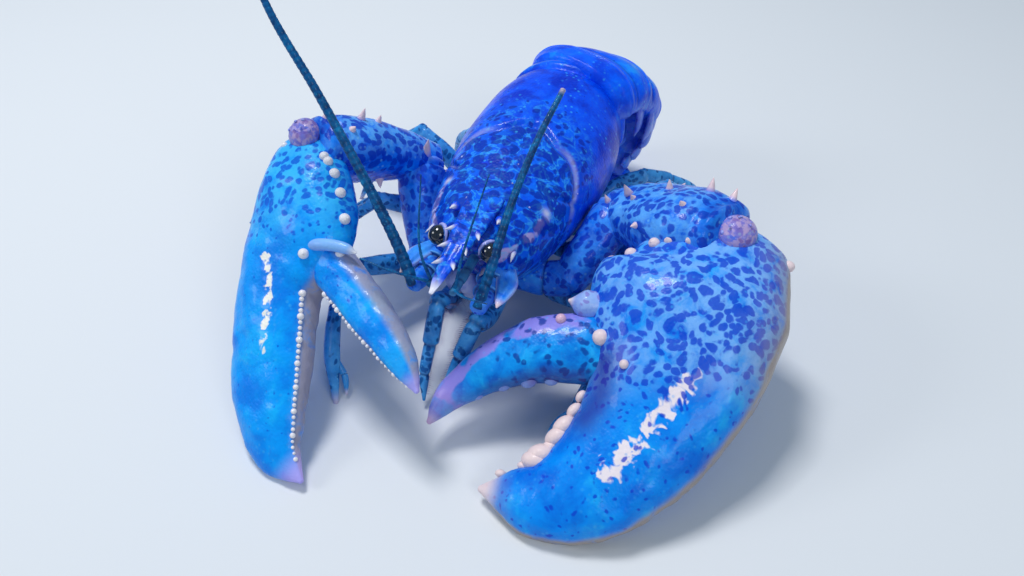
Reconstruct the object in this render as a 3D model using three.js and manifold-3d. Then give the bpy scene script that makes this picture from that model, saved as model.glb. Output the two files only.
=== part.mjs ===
// American lobster, life size, in millimetres.
// +Z is up, the head looks along -Y and the animal's own left side is +X.
// It stands on its legs with the tail curled under, and both claws reach forward to the ground.
import * as THREE from "three";
import { mergeVertices } from "three/addons/utils/BufferGeometryUtils.js";
import Module from "manifold-3d";

const wasm = await Module();
wasm.setup();

// Driving sizes.
const shellLength = 110; // carapace, from the eye socket to its rear edge
const shellWidth = 0.58 * shellLength;
const backHeight = 79; // top of the carapace above the ground
const bellyHeight = 28; // lowest edge of its sides
const flankHeight = 52; // where the carapace is widest
const rostrumLength = 31;
const tailRadius = 49; // the curled tail's outer surface
const tailTurn = 128; // degrees that its six rings turn through
const tailHalfWidth = 29;
const crusherScale = 1; // the heavy claw, on the left
const cutterScale = 1; // the slender claw, on the right
const bodyLean = 5.5; // degrees that the body leans to its left
const leanHeight = 45; // of the line that it leans about
const gap = 0.3; // between pieces that touch

const LEFT = 1;
const RIGHT = -1;
const sides = { left: LEFT, right: RIGHT };

const vector = (x, y, z) => new THREE.Vector3(x, y, z);
const mirrored = (side, x, y, z) => vector(side * x, y, z);
const radians = THREE.MathUtils.degToRad;

// Places and directions on the leaning body, from where they would be if it stood straight.
const bodyLine = vector(0, 1, 0);
const turned = (direction) => direction.applyAxisAngle(bodyLine, radians(bodyLean));
const onBody = (x, y, z) => turned(vector(x, y, z - leanHeight)).add(vector(0, 0, leanHeight));
const onSide = (side, x, y, z) => onBody(side * x, y, z);
const bodyAcross = turned(vector(1, 0, 0));

// A value that changes smoothly with place, through the given [place, value] pairs, without overshoot.
function through(...pairs) {
  const rise = (i) => (pairs[i + 1][1] - pairs[i][1]) / (pairs[i + 1][0] - pairs[i][0]);
  const slopes = pairs.map((pair, i) => {
    if (i === 0 || i === pairs.length - 1) return i === 0 ? rise(0) : rise(i - 1);
    const before = rise(i - 1);
    const after = rise(i);
    return before * after <= 0 ? 0 : (2 * before * after) / (before + after);
  });
  return (t) => {
    let i = 0;
    while (i < pairs.length - 2 && t > pairs[i + 1][0]) i += 1;
    const [start, end] = [pairs[i], pairs[i + 1]];
    const span = end[0] - start[0];
    const s = THREE.MathUtils.clamp((t - start[0]) / span, 0, 1);
    const bend = s * s * (3 - 2 * s);
    return start[1] * (1 - bend) + end[1] * bend
      + span * s * (1 - s) * ((1 - s) * slopes[i] - s * slopes[i + 1]);
  };
}

const constant = (value) => () => value;

// The closed solid of a three.js geometry.
function solidOf(geometry) {
  const bare = geometry.index ? geometry.toNonIndexed() : geometry.clone();
  for (const name of Object.keys(bare.attributes)) {
    if (name !== "position") bare.deleteAttribute(name);
  }
  const merged = mergeVertices(bare, 1e-4);
  const triangles = new Uint32Array(merged.index.array);
  const kept = [];
  for (let i = 0; i < triangles.length; i += 3) {
    const [a, b, c] = triangles.subarray(i, i + 3);
    if (a !== b && b !== c && c !== a) kept.push(a, b, c);
  }
  const make = (order) => new wasm.Manifold(new wasm.Mesh({
    numProp: 3,
    vertProperties: merged.attributes.position.array,
    triVerts: new Uint32Array(order),
  }));
  const made = make(kept);
  return made.volume() > 0 ? made : make(kept.reverse());
}

const joined = (solids) => wasm.Manifold.union(solids);

// A shell form: a line with an oval section carried along it.
// points is the line, across the direction of the section's width, and facing the side on which it rises.
// A form whose line bends within its own width is planar: across then only says which edge is its inner one.
// half, rise and drop give the section's half width and its heights above and below the line, for t in 0 to 1.
// corner is 2 for an oval and more for a squarer section, and cornerBelow is the same for its lower half.
function form({ points, across, facing = vector(0, 0, 1), planar = false, half, rise, drop = rise,
  corner = 2.2, cornerBelow = corner, around = 12, along = 10 }) {
  const line = new THREE.CatmullRomCurve3(points, false, "catmullrom", 0.5);
  const level = (direction, tangent) => direction.clone()
    .addScaledVector(tangent, -direction.dot(tangent)).normalize();
  const start = line.getTangent(0);
  const turn = level(facing, start).cross(start).dot(across) < 0 ? -1 : 1;
  const frameAt = (t) => {
    const tangent = line.getTangent(t);
    const centre = line.getPoint(t);
    if (planar) {
      const up = level(facing, tangent);
      return { centre, side: up.clone().cross(tangent).multiplyScalar(turn), up };
    }
    const side = level(across, tangent);
    const up = side.clone().cross(tangent);
    return { centre, side, up: up.dot(facing) < 0 ? up.negate() : up };
  };
  const round = (value, power) => Math.sign(value) * Math.abs(value) ** (2 / power);
  // The surface point at place t and angle a (0 along the width, a quarter turn at the top), lifted by out.
  const at = (t, a, out = 0, share = 1) => {
    const { centre, side, up } = frameAt(t);
    const above = Math.sin(a) > 0;
    const power = above ? corner : cornerBelow;
    const height = (above ? rise(t) : drop(t)) + out;
    return centre
      .addScaledVector(side, share * (half(t) + out) * round(Math.cos(a), power))
      .addScaledVector(up, share * height * round(Math.sin(a), power));
  };
  const outward = (t, a) => at(t, a, 1).sub(at(t, a)).normalize();
  const solid = (grow = 0) => {
    const tube = new THREE.CylinderGeometry(1, 1, 1, around, along);
    const place = tube.getAttribute("position");
    for (let i = 0; i < place.count; i += 1) {
      const t = THREE.MathUtils.clamp(0.5 - place.getY(i), 0, 1);
      const share = Math.hypot(place.getX(i), place.getZ(i)) > 0.5 ? 1 : 0;
      const point = at(t, Math.atan2(place.getZ(i), place.getX(i)), grow, share);
      if (t < 1e-6) point.addScaledVector(line.getTangent(0), -grow);
      if (t > 1 - 1e-6) point.addScaledVector(line.getTangent(1), grow);
      place.setXYZ(i, point.x, point.y, point.z);
    }
    return solidOf(tube);
  };
  return { at, outward, solid };
}

// A spine from base to tip, with a round foot.
function spine(base, tip, radius, facets = 5) {
  const ahead = tip.clone().sub(base).normalize();
  const solid = (grow = 0) => {
    const length = base.distanceTo(tip) + 2 * grow;
    const cone = new THREE.ConeGeometry(radius + grow, length, facets).translate(0, length / 2 - grow, 0);
    const turn = new THREE.Quaternion().setFromUnitVectors(vector(0, 1, 0), ahead);
    return solidOf(cone.applyQuaternion(turn).translate(base.x, base.y, base.z));
  };
  return { solid };
}

// A spine that stands on a form's surface and leans by the given vector.
function spineOn(host, t, a, length, radius, lean = vector(0, 0, 0)) {
  const base = host.at(t, a, -radius);
  const tip = host.at(t, a).addScaledVector(host.outward(t, a).add(lean).normalize(), length);
  return spine(base, tip, radius * 1.15);
}

// A round bead, half sunk where it stands.
function bead(centre, radius, facets = 6) {
  const rows = Math.round(0.7 * facets);
  const solid = (grow = 0) => solidOf(new THREE.SphereGeometry(radius + grow, facets, rows)
    .translate(centre.x, centre.y, centre.z));
  return { solid };
}

// The two shapes into which a thin cut square to the direction, at the given place, parts joined shapes.
function parted(shapes, direction, place) {
  const offset = direction.dot(place);
  const whole = (grow) => joined(shapes.map((shape) => shape.solid(grow)));
  const back = direction.clone().negate();
  return [
    { solid: (grow = 0) => whole(grow).trimByPlane(back.toArray(), -offset - grow) },
    { solid: (grow = 0) => whole(grow).trimByPlane(direction.toArray(), offset - grow) },
  ];
}

// Every named piece of the animal, in the order in which it is made.
// Each is cut clear of the ones before it, and of the ground.
const pieces = [];

const boxesMeet = (a, b) => [0, 1, 2].every((k) => a.min[k] < b.max[k] && b.min[k] < a.max[k]);

function addPiece(name, material, pivot, shapes) {
  let solid = joined(shapes.map((shape) => shape.solid(0)));
  const box = solid.boundingBox();
  for (const earlier of pieces) {
    if (boxesMeet(box, earlier.around)) {
      earlier.grown ??= joined(earlier.shapes.map((shape) => shape.solid(gap)));
      solid = solid.subtract(earlier.grown);
    }
  }
  solid = solid.trimByPlane([0, 0, 1], 0);
  const [body] = solid.decompose().sort((a, b) => b.volume() - a.volume());
  const around = {
    min: box.min.map((value) => value - 2 * gap),
    max: box.max.map((value) => value + 2 * gap),
  };
  pieces.push({ name, solid: body, material, pivot, shapes, around });
}

const shellBlue = { color: 0x0f56dc, roughness: 0.38, metalness: 0 };
const legTeal = { color: 0x0b7bb8, roughness: 0.45, metalness: 0 };
const clawAzure = { color: 0x1479e0, roughness: 0.4, metalness: 0 };
const feelerTeal = { color: 0x0a5c92, roughness: 0.5, metalness: 0 };
const bellyPale = { color: 0x7f93c8, roughness: 0.55, metalness: 0 };
const eyeBlack = { color: 0x070a12, roughness: 0.12, metalness: 0 };

// Carapace with the rostrum and its spines.
const shellTop = through([0, backHeight - 13], [0.08, backHeight - 10.5], [0.25, backHeight - 8],
  [0.45, backHeight - 5], [0.7, backHeight - 1.5], [0.88, backHeight], [1, backHeight - 1]);
const shellFoot = through([0, bellyHeight + 18], [0.08, bellyHeight + 10], [0.2, bellyHeight + 4.5],
  [0.45, bellyHeight], [0.72, bellyHeight], [0.88, bellyHeight + 6], [1, bellyHeight + 15]);
const shellHalf = through([0, 0.4], [0.06, 0.6], [0.16, 0.75], [0.35, 0.89], [0.6, 1], [0.8, 0.98],
  [0.93, 0.9], [1, 0.85]);
const carapace = form({
  points: [onBody(0, -3, flankHeight), onBody(0, shellLength, flankHeight)],
  across: bodyAcross,
  half: (t) => shellHalf(t) * shellWidth / 2,
  rise: (t) => shellTop(t) - flankHeight,
  drop: (t) => flankHeight - shellFoot(t),
  corner: 2.15,
  cornerBelow: 2.8,
  around: 24,
  along: 14,
});
const rostrum = form({
  points: [onBody(0, 14, 71), onBody(0, 0, 68), onBody(-0.5, -0.5 * rostrumLength, 64.5),
    onBody(-1, -rostrumLength, 59)],
  across: bodyAcross,
  half: through([0, 7], [0.33, 6], [0.66, 3.4], [0.9, 1.7], [1, 0.5]),
  rise: through([0, 2], [0.5, 2.4], [1, 0.5]),
  drop: through([0, 3], [0.5, 2.6], [1, 0.5]),
  around: 8,
  along: 8,
});
const headSpines = [];
for (const side of [LEFT, RIGHT]) {
  for (const [t, length] of [[0.42, 5], [0.58, 5.5], [0.73, 5]]) {
    const root = rostrum.at(t, side > 0 ? 0.35 : Math.PI - 0.35, -1.2);
    headSpines.push(spine(root, mirrored(side, 0.55, -0.9, 0.25).multiplyScalar(length).add(root), 1.3));
  }
  headSpines.push(spine(onSide(side, 9, 5, 69), onSide(side, 9.5, 0.5, 71), 1.4));
}
addPiece("carapace", shellBlue, vector(0, 0, flankHeight), [carapace, rostrum, ...headSpines]);

// Underside of the thorax, between the legs.
const sternum = form({
  points: [onBody(0, 6, 31), onBody(0, 40, 26), onBody(0, 75, 25), onBody(0, 102, 32)],
  across: bodyAcross,
  half: through([0, 8], [0.3, 12], [0.8, 16], [1, 12]),
  rise: constant(11),
  drop: through([0, 3], [0.4, 6], [1, 6]),
  around: 12,
  along: 6,
});
addPiece("thorax_underside", bellyPale, vector(0, 50, 26), [sternum]);

// Eyes on short stalks, under the rostrum's edges.
const eyeRadius = 3.9;
for (const [label, side] of Object.entries(sides)) {
  const ball = onSide(side, 10.5, -6, 62.5);
  const stalk = form({
    points: [onSide(side, 4, 0, 60), ball],
    across: vector(0, 1, 0),
    half: constant(2.6),
    rise: constant(2.6),
    around: 8,
    along: 2,
  });
  addPiece(`eye_${label}`, eyeBlack, ball, [bead(ball, eyeRadius, 10), stalk]);
}

// Antennae: a stout jointed base with its pointed scale, then a long tapering feeler.
const feelerRoot = (side) => onSide(side, 13, -21, 49);
for (const [label, side] of Object.entries(sides)) {
  const stem = form({
    points: [onSide(side, 10.5, 1, 48), onSide(side, 11.5, -6, 47.5), onSide(side, 12.5, -13, 47.5),
      feelerRoot(side)],
    across: bodyAcross,
    half: through([0, 5.5], [0.3, 5.6], [0.36, 4.8], [0.64, 4.9], [0.7, 4], [1, 3.2]),
    rise: through([0, 5], [0.3, 5], [0.36, 4.4], [0.64, 4.4], [0.7, 3.8], [1, 3.2]),
    around: 10,
    along: 9,
  });
  const scale = form({
    points: [onSide(side, 15, 1, 50), onSide(side, 18.5, -8, 51), onSide(side, 19.5, -19, 50.5)],
    across: bodyAcross,
    half: through([0, 3.5], [0.4, 4.2], [0.8, 2.4], [1, 0.4]),
    rise: through([0, 1.6], [0.7, 1.2], [1, 0.4]),
    around: 8,
    along: 5,
  });
  addPiece(`antenna_base_${label}`, shellBlue, feelerRoot(side), [stem, scale]);
}

// The right feeler is whole and sweeps up and back. The left one is broken off short.
const feelers = {
  right: {
    points: [feelerRoot(RIGHT), vector(-23, -14, 64), vector(-38, -7, 84), vector(-57, 1, 108),
      vector(-78, 9, 134), vector(-98, 26, 160), vector(-115, 55, 180), vector(-125, 92, 190),
      vector(-128, 130, 190)],
    thick: through([0, 2.4], [0.25, 1.9], [0.6, 1.15], [1, 0.4]),
    lengths: ["lower", "middle", "upper"],
    along: 9,
  },
  left: {
    points: [feelerRoot(LEFT), vector(14.5, -9, 61), vector(15.5, 6, 77), vector(17.5, 25, 92),
      vector(20.5, 43, 104)],
    thick: through([0, 2.3], [0.5, 1.55], [1, 1.1]),
    lengths: ["lower", "upper"],
    along: 6,
  },
};
for (const [label, feeler] of Object.entries(feelers)) {
  const whole = new THREE.CatmullRomCurve3(feeler.points, false, "catmullrom", 0.5);
  feeler.lengths.forEach((name, i) => {
    const place = (t) => (i + t) / feeler.lengths.length;
    const stretch = [...Array(feeler.along + 1).keys()].map((k) => whole.getPoint(place(k / feeler.along)));
    const thick = (t) => feeler.thick(place(t));
    const length = form({
      points: stretch,
      across: vector(1, 0.2, 0),
      half: thick,
      rise: thick,
      corner: 2,
      around: 6,
      along: feeler.along,
    });
    addPiece(`antenna_${label}_${name}`, feelerTeal, stretch[0], [length]);
  });
}

// Antennules: a thin stem under the rostrum with two fine feelers each.
const antennuleTips = {
  left: [vector(11, -3, 94), vector(24, -36, 67)],
  right: [vector(-11, -11, 93), vector(-27, -31, 66)],
};
for (const [label, side] of Object.entries(sides)) {
  const fork = onSide(side, 4.5, -25, 56);
  const stem = form({
    points: [onSide(side, 3.5, -3, 55.5), onSide(side, 4, -14, 55.5), fork],
    across: bodyAcross,
    half: through([0, 1.9], [0.5, 1.9], [1, 1.4]),
    rise: through([0, 1.9], [0.5, 1.9], [1, 1.4]),
    around: 7,
    along: 4,
  });
  const flagella = antennuleTips[label].map((tip, i) => form({
    points: [
      fork.clone().add(vector(0, 1.5, 0)),
      fork.clone().lerp(tip, 0.5).add(vector(0, i === 0 ? -5 : -3, i === 0 ? -2 : 3)),
      tip,
    ],
    across: vector(1, 0.3, 0),
    half: through([0, 0.75], [1, 0.28]),
    rise: through([0, 0.75], [1, 0.28]),
    corner: 2,
    around: 5,
    along: 6,
  }));
  addPiece(`antennule_${label}`, feelerTeal, fork, [stem, ...flagella]);
}

// Mouth: the jaws under the head, and the leg-like outer mouthparts that hang in front of them.
const jaws = form({
  points: [onBody(0, 12, 36), onBody(0, 0, 38), onBody(0, -6, 42)],
  across: bodyAcross,
  half: through([0, 9], [0.6, 8.5], [1, 5]),
  rise: constant(6),
  drop: through([0, 5], [0.6, 5], [1, 3]),
  around: 10,
  along: 4,
});
addPiece("jaws", bellyPale, vector(0, 0, 38), [jaws]);
const mouthLegs = {
  left: [vector(8, 14, 26), vector(9.5, -4, 27), vector(9, -15, 31), vector(6, -23, 21), vector(3.5, -28, 11),
    vector(2, -31, 5)],
  right: [vector(-8, 14, 26), vector(-8, -4, 29), vector(-6.5, -15, 36), vector(-6.5, -23, 24),
    vector(-6.5, -30, 13), vector(-4.5, -36, 4)],
};
for (const [label, points] of Object.entries(mouthLegs)) {
  const limb = form({
    points,
    across: vector(1, 0, 0),
    half: through([0, 4.2], [0.36, 4.2], [0.42, 3.4], [0.6, 3.2], [0.64, 2.5], [0.8, 2.2], [1, 0.6]),
    rise: through([0, 4.6], [0.36, 4.2], [0.42, 3.6], [0.6, 3.2], [0.64, 2.6], [0.8, 2.2], [1, 0.6]),
    around: 7,
    along: 9,
  });
  addPiece(`maxilliped_${label}`, legTeal, points[0], [limb]);
}

// A claw's own directions: distal towards its tip, medial towards its moving finger, dorsal out of its face.
// heading is degrees outward from straight ahead, slope degrees down, and roll lifts the inner side.
function clawFrame({ side, wrist, heading, slope, roll }) {
  const [h, s, r] = [heading, slope, roll].map(radians);
  const distal = vector(side * Math.sin(h) * Math.cos(s), -Math.cos(h) * Math.cos(s), -Math.sin(s));
  const level = vector(-side * Math.cos(h), -Math.sin(h), 0);
  const raised = distal.clone().cross(level).normalize();
  if (raised.z < 0) raised.negate();
  const medial = level.clone().multiplyScalar(Math.cos(r)).addScaledVector(raised, Math.sin(r));
  const dorsal = raised.clone().multiplyScalar(Math.cos(r)).addScaledVector(level, -Math.sin(r));
  const place = (m, d, up = 0) => wrist.clone().addScaledVector(medial, m).addScaledVector(distal, d)
    .addScaledVector(dorsal, up);
  return { distal, medial, dorsal, place };
}

// A finger or palm in the claw's plane.
// Each row is [medial, distal, half width, height above the plane, depth below it].
function clawForm(frame, rows, inner, scale, around, along) {
  const column = (k) => through(...rows.map((row, i) => [i / (rows.length - 1), row[k] * scale]));
  return form({
    points: rows.map(([m, d]) => frame.place(m * scale, d * scale)),
    across: inner,
    facing: frame.dorsal,
    planar: true,
    half: column(2),
    rise: column(3),
    drop: column(4),
    corner: 2.3,
    around,
    along,
  });
}

const claws = {
  left: {
    name: "crusher",
    side: LEFT,
    scale: crusherScale,
    wrist: vector(75, 41.5, 57),
    heading: 21.4,
    slope: 25,
    roll: -8,
    palm: [[-1, 0, 16, 7, 9], [-2, 18, 33, 15, 16], [3, 35, 36, 21.5, 18], [8, 53, 32.5, 20, 16],
      [16, 71, 27, 17, 13.5], [27, 86, 23, 15, 11.2], [42, 98, 19, 13, 9.2], [57, 102, 14, 10.5, 7.4],
      [69, 100, 8.2, 6.5, 5.5], [79, 98, 1.2, 1.2, 1.2]],
    finger: [[27, 50, 12, 10, 9], [40, 47.5, 13.5, 11.5, 10], [58, 47.5, 12.5, 10.5, 9.5],
      [75, 53, 9.5, 8, 7], [90, 63, 6.2, 5.5, 4.5], [99, 74, 1, 1, 1]],
    beads: [[0.105, 0.22, 2.6], [0.063, 0.47, 2.4], [0.05, 0.94, 2.2], [0.05, 1.2, 2.2], [0.062, 1.5, 2.5],
      [0.105, 2.9, 2.2], [0.356, 0.58, 3], [0.406, 1.07, 1.7]],
    knuckle: [-16, 8, 10.5],
    knuckleRadius: 7.4,
    lobe: [[34, 33, 6], [46, 31, 8], 6],
    fingerBead: [0.305, 2.2, 2],
    fingerRoot: 59,
    carpusHalf: [8, 15, 20, 15],
    carpusRise: [7, 12, 14.5, 11],
    carpusEnd: [-12.5, 6, 6],
    carpusSpines: [[0.335, 1.26, 6.5, 2.2], [0.45, 1.07, 2.5, 1.8], [0.63, 1.57, 4, 1.9],
      [0.83, 1.07, 2, 2], [0.84, 1.83, 5, 2], [0.95, 2.09, 4.5, 2], [0.5, 2.6, 4, 1.8], [0.6, 0.25, 3.5, 1.8]],
    merusSpines: [[0.9, 1.3, 4.5, 1.8], [0.9, 2.2, 3.5, 1.6]],
    elbow: vector(44, 57, 47),
    hip: vector(33, 27, 29),
  },
  right: {
    name: "cutter",
    side: RIGHT,
    scale: cutterScale,
    wrist: vector(-72, 14, 76),
    heading: -23,
    slope: 33.4,
    roll: 25,
    palm: [[-3, 0, 11, 7, 8], [-3.5, 9, 15.5, 11.5, 11], [-3.7, 20, 19.5, 14, 12.5], [-4.2, 36, 23, 14, 12],
      [-9, 48, 21, 13, 11], [-13.5, 60, 18, 11.5, 9.5], [-14.6, 76, 18.2, 10.5, 8.5],
      [-14.6, 93, 17.2, 9.2, 7.5], [-12.8, 109, 14.2, 7.5, 6], [-8.5, 121.5, 9.6, 5, 4], [1.5, 131, 1, 1, 1]],
    finger: [[3, 37, 8.5, 8, 7], [9, 49, 9.2, 7.8, 7], [19, 61, 8.8, 7, 6.5], [29, 73, 8.2, 6.4, 6],
      [38, 84, 6.8, 5.3, 5], [45, 94, 4.3, 3.6, 3.4], [49, 101.5, 0.9, 0.9, 0.9]],
    beads: [[0.113, 0.6, 1.9], [0.135, 0.5, 1.9], [0.18, 0.37, 2.1], [0.238, 0.31, 2.1], [0.285, 0.24, 2.2],
      [0.038, 1.94, 1.3], [0.36, 0.92, 2]],
    knuckle: [0, -0.5, 8],
    knuckleRadius: 6.5,
    lobe: [[4, 46, 7], [25, 50, 7], 3.2],
    fingerBead: [0.238, 2.38, 1.8],
    fingerRoot: 56,
    carpusHalf: [8, 12.5, 16.5, 14.5],
    carpusRise: [7, 11, 13, 12],
    carpusEnd: [0, 3, 1],
    carpusSpines: [[0.97, 1.07, 3, 1.7], [0.7, 0.92, 5, 2], [0.556, 0.86, 3.5, 1.8], [0.84, 0.34, 2, 1.9],
      [0.47, 4.76, 4, 2.4], [0.5, 2.2, 3.5, 1.8], [0.75, 2.6, 3.5, 1.8]],
    merusSpines: [[0.95, 2.6, 9, 2.5], [0.9, 1.3, 3.5, 1.6]],
    elbow: vector(-46, 50, 53),
    hip: vector(-33, 25, 30),
  },
};

// Teeth of the two claws: big rounded ones on the crusher, a row of small points on the cutter.
function teethOf(claw, frame, palm, finger) {
  if (claw.name === "crusher") {
    return {
      palm: [[0.52, 2.2], [0.57, 3], [0.62, 4.3], [0.665, 4.3], [0.72, 3], [0.765, 4.8], [0.81, 4.8],
        [0.93, 1.8]]
        .map(([t, radius]) => bead(palm.at(t, 0.1, 0.8), radius)),
      finger: [[0.36, 2.4], [0.48, 2.8], [0.6, 2.3], [0.72, 1.8]]
        .map(([t, radius]) => bead(finger.at(t, 0, -0.8), radius)),
    };
  }
  const point = (host, t, a, reach) => spine(host.at(t, a, -1.5),
    host.at(t, a).addScaledVector(frame.medial, reach), 1.7, 4);
  return {
    palm: [...Array(11).keys()].map((i) => point(palm, 0.56 + 0.037 * i, 0.4, i === 4 ? 4.5 : 2.4)),
    finger: [...Array(8).keys()].map((i) => point(finger, 0.38 + 0.07 * i, 0.4, -2)),
  };
}

for (const claw of Object.values(claws)) {
  const { name, side, wrist, hip, elbow } = claw;
  const frame = clawFrame(claw);
  const shoulder = mirrored(side, 12, 24, 27);

  const ischium = form({
    points: [shoulder, mirrored(side, 23, 25, 27), hip],
    across: vector(0, 1, 0),
    half: through([0, 7], [0.5, 7.5], [1, 8]),
    rise: through([0, 7], [0.5, 7], [1, 7.5]),
    around: 10,
    along: 4,
  });
  addPiece(`${name}_ischium`, clawAzure, shoulder, [ischium]);

  const merus = form({
    points: [hip.clone().lerp(elbow, -0.1), hip.clone().lerp(elbow, 0.5), elbow],
    across: vector(side, 0.4, 0),
    half: through([0, 7], [0.3, 8.6], [0.8, 10], [1, 8]),
    rise: through([0, 7], [0.3, 9], [0.8, 11], [1, 8.5]),
    around: 12,
    along: 6,
  });
  const merusSpines = claw.merusSpines.map(([t, a, length, radius]) => spineOn(merus, t, a, length, radius,
    vector(-0.3, 0.3, 0.8)));
  addPiece(`${name}_merus`, clawAzure, hip, [merus, ...merusSpines]);

  const carpusHalf = claw.carpusHalf;
  const carpusRise = claw.carpusRise;
  const carpus = form({
    points: [
      elbow.clone().lerp(wrist, -0.12),
      elbow.clone().lerp(wrist, 0.5).add(vector(0, 1, -1)),
      frame.place(...claw.carpusEnd),
    ],
    across: frame.medial,
    facing: frame.dorsal,
    half: through([0, carpusHalf[0]], [0.3, carpusHalf[1]], [0.75, carpusHalf[2]], [1, carpusHalf[3]]),
    rise: through([0, carpusRise[0]], [0.35, carpusRise[1]], [0.8, carpusRise[2]], [1, carpusRise[3]]),
    corner: 2.4,
    around: 14,
    along: 7,
  });
  const knuckle = bead(frame.place(...claw.knuckle), claw.knuckleRadius, 7);
  const carpusSpines = claw.carpusSpines.map(([t, a, length, radius]) => spineOn(carpus, t, a, length, radius,
    frame.distal.clone().multiplyScalar(0.3)));
  addPiece(`${name}_carpus`, clawAzure, elbow, [carpus, knuckle, ...carpusSpines]);

  const palm = clawForm(frame, claw.palm, frame.medial, claw.scale, 16, 15);
  const finger = clawForm(frame, claw.finger, frame.distal.clone().sub(frame.medial), claw.scale, 10, 8);
  const teeth = teethOf(claw, frame, palm, finger);
  const border = claw.beads.map(([t, a, radius]) => bead(palm.at(t, a), radius));
  const [lobeRoot, lobeTip, lobeRadius] = claw.lobe;
  const lobe = spine(frame.place(...lobeRoot), frame.place(...lobeTip), lobeRadius, 7);
  const [beadPlace, beadAngle, beadRadius] = claw.fingerBead;
  addPiece(`${name}_finger`, clawAzure, frame.place(claw.finger[0][0], claw.finger[0][1]),
    [finger, bead(finger.at(beadPlace, beadAngle), beadRadius), ...teeth.finger]);
  const [before, beyond] = parted([palm, lobe, ...border, ...teeth.palm], frame.distal,
    frame.place(0, claw.fingerRoot * claw.scale));
  addPiece(`${name}_palm`, clawAzure, wrist, [before]);
  addPiece(`${name}_fixed_finger`, clawAzure, frame.place(0, claw.fingerRoot * claw.scale), [beyond]);
}

// Walking legs. Each has a hip under the thorax, a raised knee and a foot on the ground.
// The first two pairs end in small pincers and the last two in a point.
const legs = {
  left: [
    { hip: [13, 40, 23], under: [21, 34, 14], knee: [56, 10, 27], foot: [50, -36, 0] },
    { hip: [14, 54, 23], under: [22, 53, 20], knee: [63, 50, 30], foot: [106, 34, 0] },
    { hip: [14, 67, 23], under: [23, 69, 22], knee: [58, 80, 46], foot: [98, 92, 0] },
    { hip: [13, 80, 24], under: [21, 84, 22], knee: [42, 108, 30], foot: [72, 136, 0] },
  ],
  right: [
    { hip: [13, 40, 23], under: [21, 33, 13.5], knee: [50, -10, 36], foot: [38, -48, 0] },
    { hip: [14, 54, 23], under: [22, 52, 20], knee: [61, 36, 36], foot: [94, 16, 0] },
    { hip: [14, 67, 23], under: [23, 69, 23], knee: [58, 74, 50], foot: [98, 74, 0] },
    { hip: [13, 80, 24], under: [21, 84, 22], knee: [44, 108, 31], foot: [72, 134, 0] },
  ],
};
for (const [label, side] of Object.entries(sides)) {
  legs[label].forEach((leg, i) => {
    const pincered = i < 2;
    const [hip, under, knee, foot] = [leg.hip, leg.under, leg.knee, leg.foot]
      .map((place) => mirrored(side, ...place));
    const outward = knee.clone().sub(under).setZ(0).normalize();
    const across = vector(-outward.y, outward.x, 0);
    const thigh = form({
      points: [hip, under, under.clone().lerp(knee, 0.5).add(vector(0, 0, 2)), knee],
      across,
      half: through([0, 4.4], [0.33, 3.6], [0.4, 3.9], [0.8, 3.6], [1, 2.8]),
      rise: through([0, 4.6], [0.33, 3.8], [0.4, 4.6], [0.8, 4.4], [1, 3.2]),
      around: 7,
      along: 6,
    });
    addPiece(`leg_${label}_${i + 1}_thigh`, legTeal, hip, [thigh]);
    const down = foot.clone().sub(knee);
    const along = (t, out, up) => knee.clone().addScaledVector(down, t).addScaledVector(outward, out)
      .add(vector(0, 0, up));
    const tip = along(1, 0, -0.4);
    const shin = form({
      points: [along(-0.03, 0, 0), along(0.28, 3, 2), along(0.62, 3, 3), tip],
      across,
      half: through([0, 2.8], [0.3, 3.1], [0.35, 2.7], [0.66, 2.5], [1, pincered ? 1 : 0.8]),
      rise: through([0, 2.9], [0.3, 3.4], [0.35, 3], [0.66, pincered ? 3.4 : 2.6], [1, pincered ? 1 : 0.8]),
      around: 7,
      along: 6,
    });
    const parts = [shin];
    if (pincered) {
      const root = along(0.7, 1, 1);
      const end = along(1, -5, 2);
      parts.push(form({
        points: [root, root.clone().lerp(end, 0.5).addScaledVector(outward, -1.4), end],
        across,
        half: through([0, 1.5], [0.6, 1.3], [1, 0.5]),
        rise: through([0, 1.5], [0.6, 1.3], [1, 0.5]),
        around: 5,
        along: 3,
      }));
    }
    addPiece(`leg_${label}_${i + 1}_shin`, legTeal, knee, parts);
  });
}

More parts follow.
